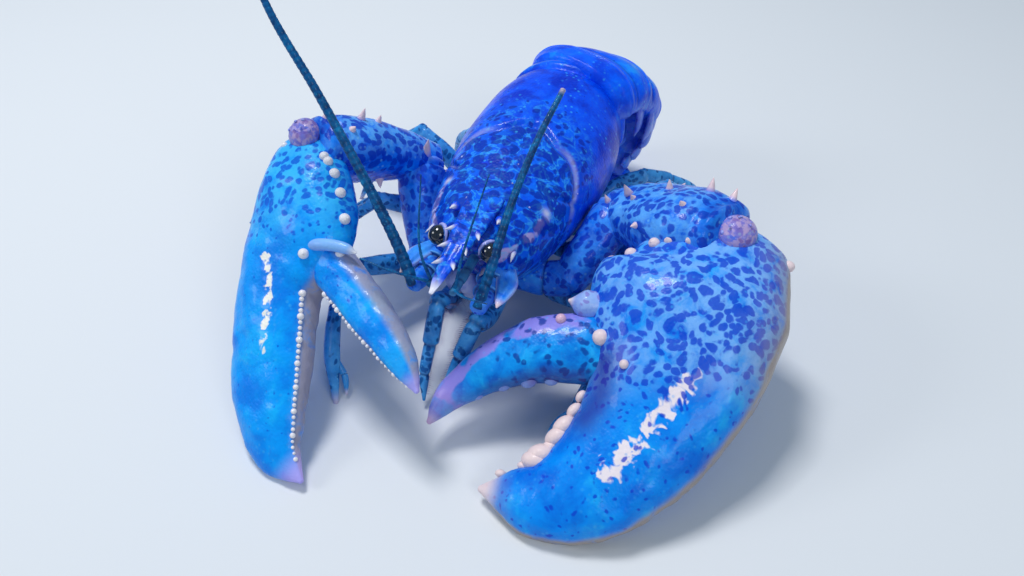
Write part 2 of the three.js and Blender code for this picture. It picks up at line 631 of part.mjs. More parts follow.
// The curled tail: six rings round one centre that moves a little to the left.
// Each has its side plates, and most have a pair of small swimmerets.
const curlCentre = vector(0, shellLength - 2, 34);
const ringRise = 18; // back of a ring above its middle line
const ringDrop = 9;
const middleRadius = tailRadius - ringRise;
const tailDrift = through([0, 1.5], [0.15, 4.5], [0.5, 11], [1, 7]);
const curl = (angle, radius, x = 0) => onBody(
  x + tailDrift(angle / tailTurn),
  curlCentre.y + radius * Math.sin(radians(angle)),
  curlCentre.z + radius * Math.cos(radians(angle)),
);
const ringWidths = through([0, 0.88], [0.15, 1], [0.5, 0.96], [0.8, 0.85], [1, 0.72]);
const ringShares = [0.1, 0.2, 0.19, 0.18, 0.165, 0.165];
let turnedSoFar = 0;
ringShares.forEach((share, i) => {
  const from = turnedSoFar - (i === 0 ? 0 : 3);
  const to = turnedSoFar + share * tailTurn;
  turnedSoFar = to;
  const middle = (from + to) / 2;
  const reach = share * tailTurn;
  const facing = curl(middle, 1).sub(curl(middle, 0));
  const ahead = bodyAcross.clone().cross(facing).negate();
  const widthAt = (t) => tailHalfWidth * ringWidths((from + (to - from) * t) / tailTurn) * (0.96 + 0.04 * t);
  const ring = form({
    points: [0, 0.25, 0.5, 0.75, 1].map((t) => curl(from + (to - from) * t, middleRadius)),
    across: bodyAcross,
    facing,
    half: widthAt,
    rise: (t) => ringRise * (0.96 + 0.04 * t),
    drop: constant(ringDrop),
    corner: 2.3,
    around: 18,
    along: 2,
  });
  const parts = [ring];
  for (const side of [LEFT, RIGHT]) {
    const x = side * widthAt(0.5);
    const plateLength = i === 5 ? 10 : 15;
    if (i > 0) {
      parts.push(form({
        points: [
          curl(middle, middleRadius + 3, 0.9 * x),
          curl(middle + 1, middleRadius - 0.55 * plateLength, 0.97 * x),
          curl(middle + 5, middleRadius - plateLength, 0.92 * x),
        ],
        across: ahead,
        facing: vector(side, 0, 0),
        half: through([0, 0.24 * reach], [0.5, 0.18 * reach], [0.85, 0.1 * reach], [1, 0.6]),
        rise: through([0, 1.8], [0.6, 1.4], [1, 0.5]),
        around: 6,
        along: 4,
      }));
    }
    if (i > 0 && i < 5) {
      parts.push(form({
        points: [
          curl(middle, middleRadius - ringDrop + 2, 0.42 * x),
          curl(middle + 4, middleRadius - ringDrop - 4, 0.5 * x),
          curl(middle + 10, middleRadius - ringDrop - 9, 0.52 * x),
        ],
        across: bodyAcross,
        facing: ahead,
        half: through([0, 2], [0.5, 3.2], [1, 1]),
        rise: through([0, 0.9], [0.6, 0.7], [1, 0.4]),
        around: 5,
        along: 3,
      }));
    }
  }
  addPiece(`tail_ring_${i + 1}`, shellBlue, curl(middle, middleRadius), parts);
});

// Tail fan, tucked forward under the last ring: the middle plate and two pairs of side plates.
const fanRoot = curl(tailTurn, middleRadius + 4);
function fanBlade(points, width, thickness) {
  const outline = through([0, 0.45], [0.25, 0.75], [0.7, 1], [0.93, 0.75], [1, 0.35]);
  return form({
    points,
    across: vector(1, 0, 0),
    half: (t) => width * outline(t),
    rise: through([0, thickness * 1.6], [0.3, thickness], [1, 0.6 * thickness]),
    around: 10,
    along: 8,
  });
}
const telson = fanBlade([
  fanRoot.clone().add(vector(0, 2, -1)),
  vector(0, fanRoot.y - 13, 5.2),
  vector(0, fanRoot.y - 26, 2.2),
  vector(0, fanRoot.y - 39, 0.9),
], 14, 1.9);
addPiece("telson", shellBlue, fanRoot, [telson]);
for (const [label, side] of Object.entries(sides)) {
  addPiece(`uropod_inner_${label}`, shellBlue, fanRoot, [fanBlade([
    fanRoot.clone().add(mirrored(side, 9, 2, -1)),
    mirrored(side, 17, fanRoot.y - 12, 4.6),
    mirrored(side, 23, fanRoot.y - 24, 1.9),
    mirrored(side, 27, fanRoot.y - 36, 0.9),
  ], 11, 1.7)]);
  addPiece(`uropod_outer_${label}`, shellBlue, fanRoot, [fanBlade([
    fanRoot.clone().add(mirrored(side, 14, 3, -0.5)),
    mirrored(side, 26, fanRoot.y - 7, 4.4),
    mirrored(side, 36, fanRoot.y - 15, 1.8),
    mirrored(side, 45, fanRoot.y - 24, 0.9),
  ], 11.5, 1.7)]);
}

// One mesh for each piece, about its own joint, with the origin on the ground in the middle of the whole.
const lobster = new THREE.Group();
for (const { name, solid, material, pivot } of pieces) {
  const { vertProperties, triVerts } = solid.getMesh();
  const geometry = new THREE.BufferGeometry()
    .setAttribute("position", new THREE.BufferAttribute(vertProperties, 3))
    .setIndex(new THREE.BufferAttribute(triVerts, 1))
    .translate(-pivot.x, -pivot.y, -pivot.z);
  geometry.computeVertexNormals();
  const mesh = new THREE.Mesh(geometry, new THREE.MeshStandardMaterial(material));
  mesh.name = name;
  mesh.position.copy(pivot);
  lobster.add(mesh);
}
const extent = new THREE.Box3().setFromObject(lobster);
const middle = extent.getCenter(vector(0, 0, 0));
lobster.position.set(-middle.x, -middle.y, -extent.min.z);

export default lobster;
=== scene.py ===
import math

import bmesh
import bpy
import numpy as np
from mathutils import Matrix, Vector


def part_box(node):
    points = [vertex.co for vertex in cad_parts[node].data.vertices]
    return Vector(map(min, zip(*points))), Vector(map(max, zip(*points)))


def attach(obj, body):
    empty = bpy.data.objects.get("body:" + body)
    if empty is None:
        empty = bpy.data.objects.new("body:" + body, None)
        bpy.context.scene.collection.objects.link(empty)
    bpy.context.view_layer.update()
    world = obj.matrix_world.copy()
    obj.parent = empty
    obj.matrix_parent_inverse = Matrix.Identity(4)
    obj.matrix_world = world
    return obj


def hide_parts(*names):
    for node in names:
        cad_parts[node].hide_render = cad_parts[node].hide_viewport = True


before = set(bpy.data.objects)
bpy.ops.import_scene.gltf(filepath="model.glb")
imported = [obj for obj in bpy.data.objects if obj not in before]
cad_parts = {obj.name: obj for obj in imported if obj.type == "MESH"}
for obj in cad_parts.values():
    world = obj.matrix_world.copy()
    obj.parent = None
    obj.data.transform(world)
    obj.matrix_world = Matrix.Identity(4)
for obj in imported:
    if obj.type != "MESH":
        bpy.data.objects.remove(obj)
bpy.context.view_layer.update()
print("frame loaded:", len(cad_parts), "nodes")

# Shapes are worked out in millimetres on a body whose eye sockets are over the origin.
# The head looks along -Y and the animal's own left is +X. place() moves them to the frame, in metres.
left, right = 1, -1
sideNames = {left: "left", right: "right"}
pi, millimetre = math.pi, 0.001
floorGap = 0.02             # no point comes nearer to the floor
capAngles = (0.5, 1.0, 1.35, 1.52)    # of the rings that close a tube's end

body = {
    "shellLength": 110.0,   # eye socket to the carapace's rear edge
    "shellWidth": 63.8,
    "flankHeight": 52.0,    # where the carapace is widest
    "rostrumLength": 31.0,
    "lean": 5.5,            # degrees to its left
    "leanHeight": 45.0,
}


def vec(*values):
    return np.array(values, float)


def unit(v):
    return v / np.maximum(np.linalg.norm(v, axis=-1, keepdims=True), 1e-12)


def turned(v):
    c, s = math.cos(math.radians(body["lean"])), math.sin(math.radians(body["lean"]))
    return vec(v[0] * c + v[2] * s, v[1], v[2] * c - v[0] * s)


def onBody(x, y, z):
    return turned(vec(x, y, z - body["leanHeight"])) + vec(0, 0, body["leanHeight"])


# Points of the body, or their mirror images on the other side.
def bodyPoints(spots, side=left):
    return [onBody(side * x, y, z) for x, y, z in spots]


bodyAcross = turned(vec(1, 0, 0))


# A value that changes smoothly with place through [place, value] pairs, without overshoot.
def through(*pairs):
    xs, ys = np.array(pairs, float).T
    rises = np.diff(ys) / np.diff(xs)
    slopes = np.zeros(len(xs))
    slopes[0], slopes[-1] = rises[0], rises[-1]
    for i in range(1, len(xs) - 1):
        a, b = rises[i - 1], rises[i]
        slopes[i] = 0 if a * b <= 0 else 2 * a * b / (a + b)

    def value(t):
        t = np.asarray(t, float)
        i = np.clip(np.searchsorted(xs, t, side="right") - 1, 0, len(xs) - 2)
        span = xs[i + 1] - xs[i]
        s = np.clip((t - xs[i]) / span, 0, 1)
        bend = s * s * (3 - 2 * s)
        swing = span * s * (1 - s) * ((1 - s) * slopes[i] - s * slopes[i + 1])
        return ys[i] * (1 - bend) + ys[i + 1] * bend + swing
    return value


def sized(value):
    return value if callable(value) else through(*value)


def line(points, ts):
    p = np.array(points, float)
    p = np.vstack([2 * p[0] - p[1], p, 2 * p[-1] - p[-2]])
    spans = len(p) - 3
    u = np.clip(np.asarray(ts, float), 0, 1) * spans
    i = np.minimum(u.astype(int), spans - 1)
    w = (u - i)[:, None]
    a, b, c, d = p[i], p[i + 1], p[i + 2], p[i + 3]
    m0, m1 = (c - a) / 2, (d - b) / 2
    return b + w * m0 + w ** 2 * (3 * (c - b) - 2 * m0 - m1) + w ** 3 * (2 * (b - c) + m0 + m1)


def tangents(points, ts):
    ts, step = np.asarray(ts, float), 1e-4
    return unit(line(points, ts + step) - line(points, ts - step))


def smooth(edge0, edge1, value):
    s = np.clip((value - edge0) / (edge1 - edge0), 0, 1)
    return s * s * (3 - 2 * s)


def hill(value, centre, width):
    return np.exp(-((value - centre) / width) ** 2)


# The angle between two directions round a form, from 0 to pi.
def turnBetween(a, b):
    return np.abs(np.angle(np.exp(1j * (a - b))))


# Soft random waves over space, the same in each run.
def waves(points, size, seed, octaves=2, directions=5):
    rng = np.random.default_rng(seed)
    total = np.zeros(points.shape[:-1])
    for octave in range(octaves):
        for _ in range(directions):
            direction = unit(rng.normal(size=3)) * (2 * pi / size) * 2 ** octave
            total += np.sin(points @ direction + rng.uniform(0, 2 * pi)) / 2 ** octave
    return total / directions


# A shell form: an oval section carried along a line, as the solids are made.
# Sizes are functions of the place along it, or [place, size] pairs.
class Form:
    def __init__(self, points, half, rise=None, across=(1, 0, 0), facing=(0, 0, 1), planar=False,
                 drop=None, corner=2.2, cornerBelow=None):
        self.points, self.across, self.facing = np.array(points, float), vec(*across), vec(*facing)
        self.planar, self.corner = planar, corner
        self.cornerBelow = corner if cornerBelow is None else cornerBelow
        self.half = sized(half)
        self.rise = self.half if rise is None else sized(rise)
        self.drop = self.rise if drop is None else sized(drop)
        start = tangents(self.points, [0])[0]
        up = unit(self.facing - (start @ self.facing) * start)
        self.hand = -1 if np.cross(up, start) @ self.across < 0 else 1

    def frames(self, ts):
        ahead = tangents(self.points, ts)
        if self.planar:
            up = unit(self.facing - (ahead @ self.facing)[:, None] * ahead)
            side = np.cross(up, ahead) * self.hand
        else:
            side = unit(self.across - (ahead @ self.across)[:, None] * ahead)
            up = np.cross(side, ahead)
            up = np.where((up @ self.facing)[:, None] < 0, -up, up)
        return line(self.points, ts), side, up

    def at(self, ts, angles, out=0.0):
        ts, angles = np.atleast_1d(ts).astype(float), np.atleast_1d(angles).astype(float)
        centre, side, up = self.frames(ts)
        c, s = np.cos(angles), np.sin(angles)
        power = np.where(s > 0, 2 / self.corner, 2 / self.cornerBelow)
        across, height = np.sign(c) * np.abs(c) ** power, np.sign(s) * np.abs(s) ** power
        half = self.half(ts)[:, None] + out
        tall = np.where(s[None, :] > 0, self.rise(ts)[:, None], self.drop(ts)[:, None]) + out
        return (centre[:, None, :] + (half * across)[..., None] * side[:, None, :]
                + (tall * height)[..., None] * up[:, None, :])

    def spot(self, t, a, out=0.0):
        return self.at([t], [a], out)[0, 0]

    def outward(self, t, a):
        return unit(self.spot(t, a, 1.0) - self.spot(t, a))

    # The place along, the angle around and the point of each corner of a grid on the form.
    def grid(self, along, around):
        ts, angles = np.linspace(0, 1, along), np.linspace(0, 2 * pi, around, endpoint=False)
        return *np.meshgrid(ts, angles, indexing="ij"), self.at(ts, angles)


carapace = {
    "grid": (230, 200), "corner": 2.15, "cornerBelow": 2.8, "front": -3.0,
    "top": ([0, 66], [0.08, 68.5], [0.25, 71], [0.45, 74], [0.7, 77.5], [0.88, 79], [1, 78]),
    "foot": ([0, 46], [0.08, 38], [0.2, 32.5], [0.45, 28], [0.72, 28], [0.88, 34], [1, 43]),
    "widthShare": ([0, 0.4], [0.06, 0.6], [0.16, 0.75], [0.35, 0.89], [0.6, 1], [0.8, 0.98],
                   [0.93, 0.9], [1, 0.85]),
    "grooveDepth": 1.9, "grooveWidth": 0.016, "jawDepth": 1.0, "midlineDepth": 0.7,
    "rearRim": 1.3, "rearGroove": 1.0, "sideRim": 0.7, "waveHeight": 0.25, "waveSize": 26,
    "tubercles": 14, "tubercleRadius": 0.7, "orbitRadius": 4.15, "orbitThickness": 0.6,
}
carapaceTop, carapaceFoot, carapaceShare = (
    through(*carapace[key]) for key in ("top", "foot", "widthShare"))
carapaceForm = Form(
    points=[onBody(0, y, body["flankHeight"]) for y in (carapace["front"], body["shellLength"])],
    across=bodyAcross,
    half=lambda t: carapaceShare(t) * body["shellWidth"] / 2,
    rise=lambda t: carapaceTop(t) - body["flankHeight"],
    drop=lambda t: body["flankHeight"] - carapaceFoot(t),
    corner=carapace["corner"], cornerBelow=carapace["cornerBelow"])

# The solids have their origin in the middle of the ground that they cover, which the carapace's box gives.
coarse = carapaceForm.at(np.linspace(0, 1, 16), np.linspace(0, 2 * pi, 25))
lowest, highest = (np.array(corner) * 1000 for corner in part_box("carapace"))
shift = vec((lowest[0] + highest[0] - coarse[..., 0].min() - coarse[..., 0].max()) / 2,
            lowest[1] + body["rostrumLength"], 0)
print("shift", shift.round(2))


def place(points):
    return (np.asarray(points, float) + shift) * millimetre


def addToScene(name, data):
    item = bpy.data.objects.new(name, data)
    bpy.context.scene.collection.objects.link(item)
    return item


# The shares of a shell's marks, kept with each point of its mesh for the materials.
markLayers = {"marksA": ("pale", "spots", "cream"), "marksB": ("rim", "tip", "deep")}
markNames = sum(markLayers.values(), ())


# Gathers closed skins, with their marks, and turns them into one object.
class Skin:
    def __init__(self):
        self.points, self.faces, self.marks, self.count = [], [], [], 0

    def add(self, points, faces, marks):
        flat = points.reshape(-1, 3)
        table = np.zeros((len(flat), len(markNames)))
        for name, value in marks.items():
            table[:, markNames.index(name)] = np.broadcast_to(value, points.shape[:-1]).reshape(-1)
        self.points.append(flat)
        self.marks.append(np.clip(table, 0, 1))
        self.faces += [tuple(i + self.count for i in face) for face in faces]
        self.count += len(flat)

    # rings is [place along, place around, xyz]. Both ends are closed with a low dome.
    def tube(self, rings, marks, dome=(0.25, 0.25)):
        marks = {k: np.broadcast_to(v, rings.shape[:2]) for k, v in marks.items()}
        for end, depth in ((0, dome[0]), (-1, dome[1])):
            centre = rings[end].mean(0)
            inner = rings[1] if end == 0 else rings[-2]
            ahead = unit(centre - inner.mean(0))
            radius = np.linalg.norm(rings[end] - centre, axis=1).mean()
            edge = rings[end] - centre
            extra = np.array([centre + edge * math.cos(q) + ahead * depth * radius * math.sin(q)
                              for q in capAngles])
            rings = np.concatenate([extra[::-1], rings] if end == 0 else [rings, extra])
            for k, v in marks.items():
                more = np.repeat(v[:1] if end == 0 else v[-1:], len(extra), axis=0)
                marks[k] = np.concatenate([more, v] if end == 0 else [v, more])
        n, m = rings.shape[:2]
        i, j = np.meshgrid(np.arange(n - 1), np.arange(m), indexing="ij")
        k = (j + 1) % m
        quads = np.stack([i * m + j, i * m + k, (i + 1) * m + k, (i + 1) * m + j], -1).reshape(-1, 4)
        faces = [tuple(q) for q in quads.tolist()]
        faces += [tuple(range(m))[::-1], tuple((n - 1) * m + q for q in range(m))]
        self.add(rings, faces, marks)

    # A spine with a flared foot and a slight bend.
    def spine(self, base, tip, radius, bend=(0, 0, 0), facets=14, steps=10):
        ahead = unit(tip - base)
        side = unit(np.cross(ahead, vec(0.3, 0.9, 0.2)))
        up = np.cross(side, ahead)
        s = np.linspace(0, 1, steps) ** 1.2
        size = radius * ((1 - s) ** 0.85 * 0.96 + 0.04 + 0.5 * np.exp(-s / 0.1))
        a = np.linspace(0, 2 * pi, facets, endpoint=False)
        middle = base + s[:, None] * (tip - base) + (s * (1 - s))[:, None] * vec(*bend)
        around = np.cos(a)[:, None] * side + np.sin(a)[:, None] * up
        rings = middle[:, None] + size[:, None, None] * around
        self.tube(rings, {"tip": smooth(0.1, 0.55, s)[:, None]}, dome=(0.1, 0.6))

    # A ball, squashed along up.
    def bead(self, centre, radius, up, squash, facets, marks):
        q = np.linspace(-pi / 2 + 0.12, pi / 2 - 0.12, facets // 2 + 1)[:, None, None]
        a = np.linspace(0, 2 * pi, facets, endpoint=False)[:, None]
        up = unit(vec(*up))
        side = unit(np.cross(up, vec(0.31, 0.89, 0.2)))
        ring = np.cos(a) * side + np.sin(a) * np.cross(side, up)
        self.tube(centre + radius * (np.cos(q) * ring + squash * np.sin(q) * up), marks, dome=(0.3, 0.3))

    def build(self, name, material, replaces=None):
        mesh = bpy.data.meshes.new(name)
        points, marks = np.vstack(self.points), np.vstack(self.marks)
        points[:, 2] = np.maximum(points[:, 2], floorGap)
        mesh.from_pydata(place(points).tolist(), [], self.faces)
        for label, names in markLayers.items():
            values = np.ones((len(points), 4))
            values[:, :3] = marks[:, [markNames.index(mark) for mark in names]]
            layer = mesh.attributes.new(label, "FLOAT_COLOR", "POINT")
            layer.data.foreach_set("color", values.reshape(-1))
        mesh.validate()
        mesh.polygons.foreach_set("use_smooth", [True] * len(mesh.polygons))
        bm = bmesh.new()
        bm.from_mesh(mesh)
        bmesh.ops.recalc_face_normals(bm, faces=bm.faces)
        bm.to_mesh(mesh)
        bm.free()
        mesh.materials.append(material)
        piece = addToScene(name, mesh)
        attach(piece, "root")
        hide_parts(*(replaces or [name]))


# Adds nodes to a tree. An input's value can be another node's output.
class Nodes:
    def __init__(self, tree):
        self.tree = tree

    def node(self, kind, inputs, output=0, **settings):
        item = self.tree.nodes.new(kind)
        for key, value in settings.items():
            setattr(item, key, value)
        for key, value in inputs.items():
            if isinstance(value, bpy.types.NodeSocket):
                self.tree.links.new(value, item.inputs[key])
            else:
                item.inputs[key].default_value = value
        return item.outputs[output]

    def math(self, operation, *values):
        return self.node("ShaderNodeMath", dict(enumerate(values)), operation=operation)

    def times(self, a, b):
        return self.math("MULTIPLY", a, b)

    def timesPlus(self, a, b, c):
        return self.math("MULTIPLY_ADD", a, b, c)


# Geometry Nodes: copies of one small shape along a path, turned to the path's "out" and scaled by its
# "size". Every fourth copy is larger by the share "Extra".
def rowTree(shape):
    tree = bpy.data.node_groups.new(shape + "Row", "GeometryNodeTree")
    kinds = {"Geometry": "Geometry", "Spacing": "Float", "Radius": "Float", "Length": "Float",
             "Variation": "Float", "Extra": "Float", "Seed": "Int", "Material": "Material"}
    for label, kind in kinds.items():
        tree.interface.new_socket(label, in_out="INPUT", socket_type="NodeSocket" + kind)
    tree.interface.new_socket("Geometry", in_out="OUTPUT", socket_type="NodeSocketGeometry")

    n = Nodes(tree)
    given = tree.nodes.new("NodeGroupInput").outputs
    path = n.node("GeometryNodeMeshToCurve", {"Mesh": given["Geometry"]})
    path = n.node("GeometryNodeResampleCurve", {"Curve": path, "Length": given["Spacing"]}, mode="LENGTH")
    if shape == "bead":
        copy = n.node("GeometryNodeMeshUVSphere", {"Segments": 12, "Rings": 8, "Radius": given["Radius"]})
    else:
        copy = n.node("GeometryNodeMeshCone", {"Vertices": 5, "Radius Bottom": given["Radius"],
                                               "Radius Top": 0.02, "Depth": given["Length"]})
    out = n.node("GeometryNodeInputNamedAttribute", {"Name": "out"}, "Attribute", data_type="FLOAT_VECTOR")
    size = n.node("GeometryNodeInputNamedAttribute", {"Name": "size"}, "Attribute", data_type="FLOAT")
    turn = n.node("FunctionNodeAlignRotationToVector", {"Vector": out}, axis="Z")
    least = n.math("SUBTRACT", 1.0, given["Variation"])
    chance = n.node("FunctionNodeRandomValue", {2: least, 3: 1.0, "Seed": given["Seed"]}, 1,
                    data_type="FLOAT")
    fourth = n.math("LESS_THAN", n.math("MODULO", n.node("GeometryNodeInputIndex", {}), 4.0), 0.5)
    scale = n.times(n.times(size, chance), n.timesPlus(fourth, given["Extra"], 1.0))
    copies = n.node("GeometryNodeInstanceOnPoints",
                    {"Points": path, "Instance": copy, "Rotation": turn, "Scale": scale})
    solid = n.node("GeometryNodeRealizeInstances", {"Geometry": copies})
    solid = n.node("GeometryNodeSetMaterial", {"Geometry": solid, "Material": given["Material"]})
    tree.links.new(solid, tree.nodes.new("NodeGroupOutput").inputs[0])
    return tree


rowTrees = {shape: rowTree(shape) for shape in ("bead", "bristle")}


# Adds a row of beads or bristles along spots to a skin. The sizes are in millimetres.
def addRow(skin, shape, spots, outs, sizes, marks, inputs):
    mesh = bpy.data.meshes.new("rowPath")
    mesh.from_pydata(np.array(spots).tolist(), [(i, i + 1) for i in range(len(spots) - 1)], [])
    for label, kind, field, values in (("out", "FLOAT_VECTOR", "vector", outs),
                                       ("size", "FLOAT", "value", sizes)):
        layer = mesh.attributes.new(label, kind, "POINT")
        layer.data.foreach_set(field, np.array(values, float).reshape(-1))
    carrier = addToScene("rowPath", mesh)
    modifier = carrier.modifiers.new("row", "NODES")
    modifier.node_group = rowTrees[shape]
    for item in modifier.node_group.interface.items_tree:
        if item.in_out == "INPUT" and item.name in inputs:
            modifier[item.identifier] = inputs[item.name]
    row = bpy.data.meshes.new_from_object(carrier.evaluated_get(bpy.context.evaluated_depsgraph_get()))
    carrier.modifiers.clear()
    skin.add(np.array([v.co for v in row.vertices]), [tuple(f.vertices) for f in row.polygons], marks)
    bpy.data.objects.remove(carrier)
    for used in (mesh, row):
        bpy.data.meshes.remove(used)


# Moves a grid of surface points along its own normals by the given heights.
def raised(rings, heights):
    along = np.gradient(rings, axis=0)
    around = (np.roll(rings, -1, axis=1) - np.roll(rings, 1, axis=1)) / 2
    normal = unit(np.cross(along, around))
    outwards = rings - rings.mean(1, keepdims=True)
    sign = np.sign((normal * outwards).sum(-1).mean())
    return rings + sign * normal * heights[..., None]


# Colours are given as they look on screen.
def tone(code):
    values = [int(code[i:i + 2], 16) / 255 for i in (0, 2, 4)]
    return [v / 12.92 if v <= 0.04045 else ((v + 0.055) / 1.055) ** 2.4 for v in values] + [1.0]


# The nodes of a material, with the names that its recipe uses.
class Look(Nodes):
    def __init__(self, name):
        self.material = bpy.data.materials.new(name)
        self.material.use_nodes = True
        super().__init__(self.material.node_tree)
        self.tree.nodes.clear()

    def between(self, value, low, high):
        return self.node("ShaderNodeMapRange", {"Value": value, "From Min": low, "From Max": high},
                         "Result", interpolation_type="SMOOTHSTEP")

    def mix(self, factor, a, b):
        return self.node("ShaderNodeMix", {0: factor, 6: a, 7: b}, 2, data_type="RGBA")

    def noise(self, place, size, detail=2.0, rough=0.5, distortion=0.0):
        return self.node("ShaderNodeTexNoise", {
            "Vector": place, "Scale": 1.0 / size, "Detail": detail, "Roughness": rough,
            "Distortion": distortion}, "Fac")

    def cells(self, place, size):
        return self.node("ShaderNodeTexVoronoi", {"Vector": place, "Scale": 1.0 / size}, "Distance")

    # The place on the object, in millimetres.
    def place(self):
        place = self.node("ShaderNodeTexCoord", {}, "Object")
        return self.node("ShaderNodeVectorMath", {0: place, 1: (1000, 1000, 1000)}, operation="MULTIPLY")

    # The shares of a layer's three marks.
    def marks(self, layer):
        colour = self.node("ShaderNodeAttribute", {}, "Color", attribute_name=layer)
        return self.node("ShaderNodeSeparateColor", {0: colour}).node.outputs[:3]

    def finish(self, values):
        shader = self.node("ShaderNodeBsdfPrincipled", values)
        self.tree.links.new(shader, self.tree.nodes.new("ShaderNodeOutputMaterial").inputs["Surface"])
        return self.material


# Lobster shell. The sizes of its marks are in millimetres, and each mark's share comes from the mesh. A pair
# of numbers is where that mark fades in. Each shell has its own deep, ground, bright, pale and spot colours.
shellLook = {
    "vein": "39a9f2", "cream": "d9c6e6", "rim": "a98d9c", "tip": "f0d3d6", "dark": "061a5c",
    "cloudSize": 13.0, "groundEdge": (0.36, 0.56), "brightEdge": (0.54, 0.72),
    "paleEdge": (0.3, 0.58), "rimEdge": (0.2, 0.5),
    "veinSize": 11.0, "veinShare": 0.5, "veinEdge": (0.05, 0.006),
    "creamSize": 4.5, "creamEdge": (0.9, 1.04),
    "spotSize": 4.2, "spotReach": 0.62, "spotLeast": 0.13, "spotRagged": 0.36, "spotShare": 0.85,
    "fleckShare": 0.5, "grainSize": 1.25, "grainHeight": 0.16, "rough": 0.3, "roughRange": (-0.08, 0.14),
    "coat": 0.16, "coatRough": 0.07, "specular": 0.15,
}


def shellMaterial(name, **changes):
    look = {**shellLook, **changes}
    n = Look(name)
    place = n.place()
    bend = n.node("ShaderNodeTexNoise", {"Vector": place, "Scale": 0.09, "Detail": 2.0}, "Color")
    shifted = n.node("ShaderNodeVectorMath", {0: bend, 1: (9, 9, 9), 2: place}, operation="MULTIPLY_ADD")
    (pale, spots, cream), (rim, tip, deep) = (n.marks(layer) for layer in markLayers)
    cloud = n.noise(shifted, look["cloudSize"], 4.0, 0.6)
    patch = n.noise(shifted, look["veinSize"] * 0.7, 5.0, 0.62)
    creamPlace = n.timesPlus(n.noise(shifted, look["creamSize"]), 1.1, n.times(cream, 0.5))
    web = n.noise(shifted, look["veinSize"], 3.0, 0.55, 0.6)
    vein = n.between(n.math("ABSOLUTE", n.math("SUBTRACT", web, 0.5)), *look["veinEdge"])
    ragged = n.timesPlus(n.noise(place, look["spotSize"] * 0.55), look["spotRagged"],
                         n.cells(shifted, look["spotSize"]))
    reach = n.timesPlus(spots, look["spotReach"], look["spotLeast"])
    spot = n.between(ragged, n.math("ADD", reach, 0.1), n.math("SUBTRACT", reach, 0.08))
    fleck = n.times(n.between(n.cells(place, look["grainSize"] * 2.1), 0.3, 0.12),
                    n.between(n.noise(place, 9.0), 0.42, 0.62))
    colour = tone(look["deep"])
    for share, layer in (    # from the ground up
            (n.between(cloud, *look["groundEdge"]), "ground"),
            (n.between(cloud, *look["brightEdge"]), "bright"),
            (n.times(pale, n.between(patch, *look["paleEdge"])), "pale"),
            (n.between(creamPlace, *look["creamEdge"]), "cream"),
            (n.times(vein, n.times(pale, look["veinShare"])), "vein"),
            (n.times(spot, look["spotShare"]), "spot"), (n.times(fleck, look["fleckShare"]), "vein"),
            (n.times(rim, n.between(patch, *look["rimEdge"])), "rim"), (deep, "dark"), (tip, "tip")):
        colour = n.mix(share, colour, tone(look[layer]))

    grain = n.between(n.cells(place, look["grainSize"]), 0.15, 0.75)
    pits = n.between(n.cells(place, look["grainSize"] * 2.6), 0.02, 0.16)
    height = n.timesPlus(grain, -0.45, n.timesPlus(pits, 0.6, n.times(cloud, 1.2)))
    bump = n.node("ShaderNodeBump", {"Strength": 0.8, "Distance": look["grainHeight"] * millimetre,
                                     "Height": height})
    least, most = (look["rough"] + change for change in look["roughRange"])
    rough = n.node("ShaderNodeMapRange", {"Value": n.noise(place, 3.0, 3.0), "To Min": least, "To Max": most})
    return n.finish({
        "Base Color": colour, "Normal": bump, "Roughness": rough, "Coat Weight": look["coat"],
        "Coat Roughness": look["coatRough"], "Specular IOR Level": look["specular"]})


carapaceShell = shellMaterial(
    "carapaceShell", deep="0032c8", ground="004ef0", bright="006cfe", pale="0a74f2", cream="b6a8e2",
    rim="6272c4", spot="001e9c", spotSize=4.0, vein="42bcf4", tip="e4e4f4", veinShare=0.75,
    cloudSize=11.0, veinSize=7.0, spotShare=0.75, creamSize=9.0)
tailShell = shellMaterial(
    "tailShell", deep="0040dc", ground="0060ff", bright="1490ff", pale="6a90f0", cream="c2b8ee",
    rim="8f7cc0", spot="0430b4", veinShare=0.25, cloudSize=17.0)
crusherShell = shellMaterial(
    "crusherShell", deep="0070e0", ground="008ef4", bright="1cb0fa", pale="78b4f8", spot="0440cc",
    cream="f4e8ee", rim="a39690", tip="f6dcd6", dark="33288c", veinShare=0.1, cloudSize=16.0,
    spotSize=3.5, creamSize=3.6)
# The crusher finger's dark colour is painted shade along its biting side.
crusherFingerShell = shellMaterial(
    "crusherFingerShell", deep="026ad2", ground="0692ec", bright="1cb0fa", pale="5cb6f4", spot="023a9c",
    cream="8c88e4", rim="b890b4", tip="e8b8c8", dark="3a1c66", veinShare=0.1, cloudSize=9.0,
    spotSize=4.4, creamSize=12.0)
cutterShell = shellMaterial(
    "cutterShell", deep="0080ea", ground="009cfa", bright="10b4ff", pale="3cbcfa", spot="0058d4",
    cream="f4f2ea", rim="a09aa8", tip="f4eeec", dark="beaaf6", veinShare=0.1, cloudSize=16.0,
    spotSize=3.3, creamSize=3.4)
armShell = shellMaterial(
    "armShell", deep="0056de", ground="0078f6", bright="209cff", vein="7cc6f4", pale="6cbcfc",
    cream="a6a4ea", rim="c4908e", spot="0438c0", veinShare=0.15, veinSize=7.0, cloudSize=9.0,
    spotSize=3.7, creamSize=2.4)
legShell = shellMaterial(
    "legShell", deep="1072be", ground="2490da", bright="4cacec", vein="6cc0ea", pale="6cb0ea",
    spot="064a90", spotSize=3.2, cloudSize=7.0, grainSize=0.8, grainHeight=0.08, veinShare=0.2)
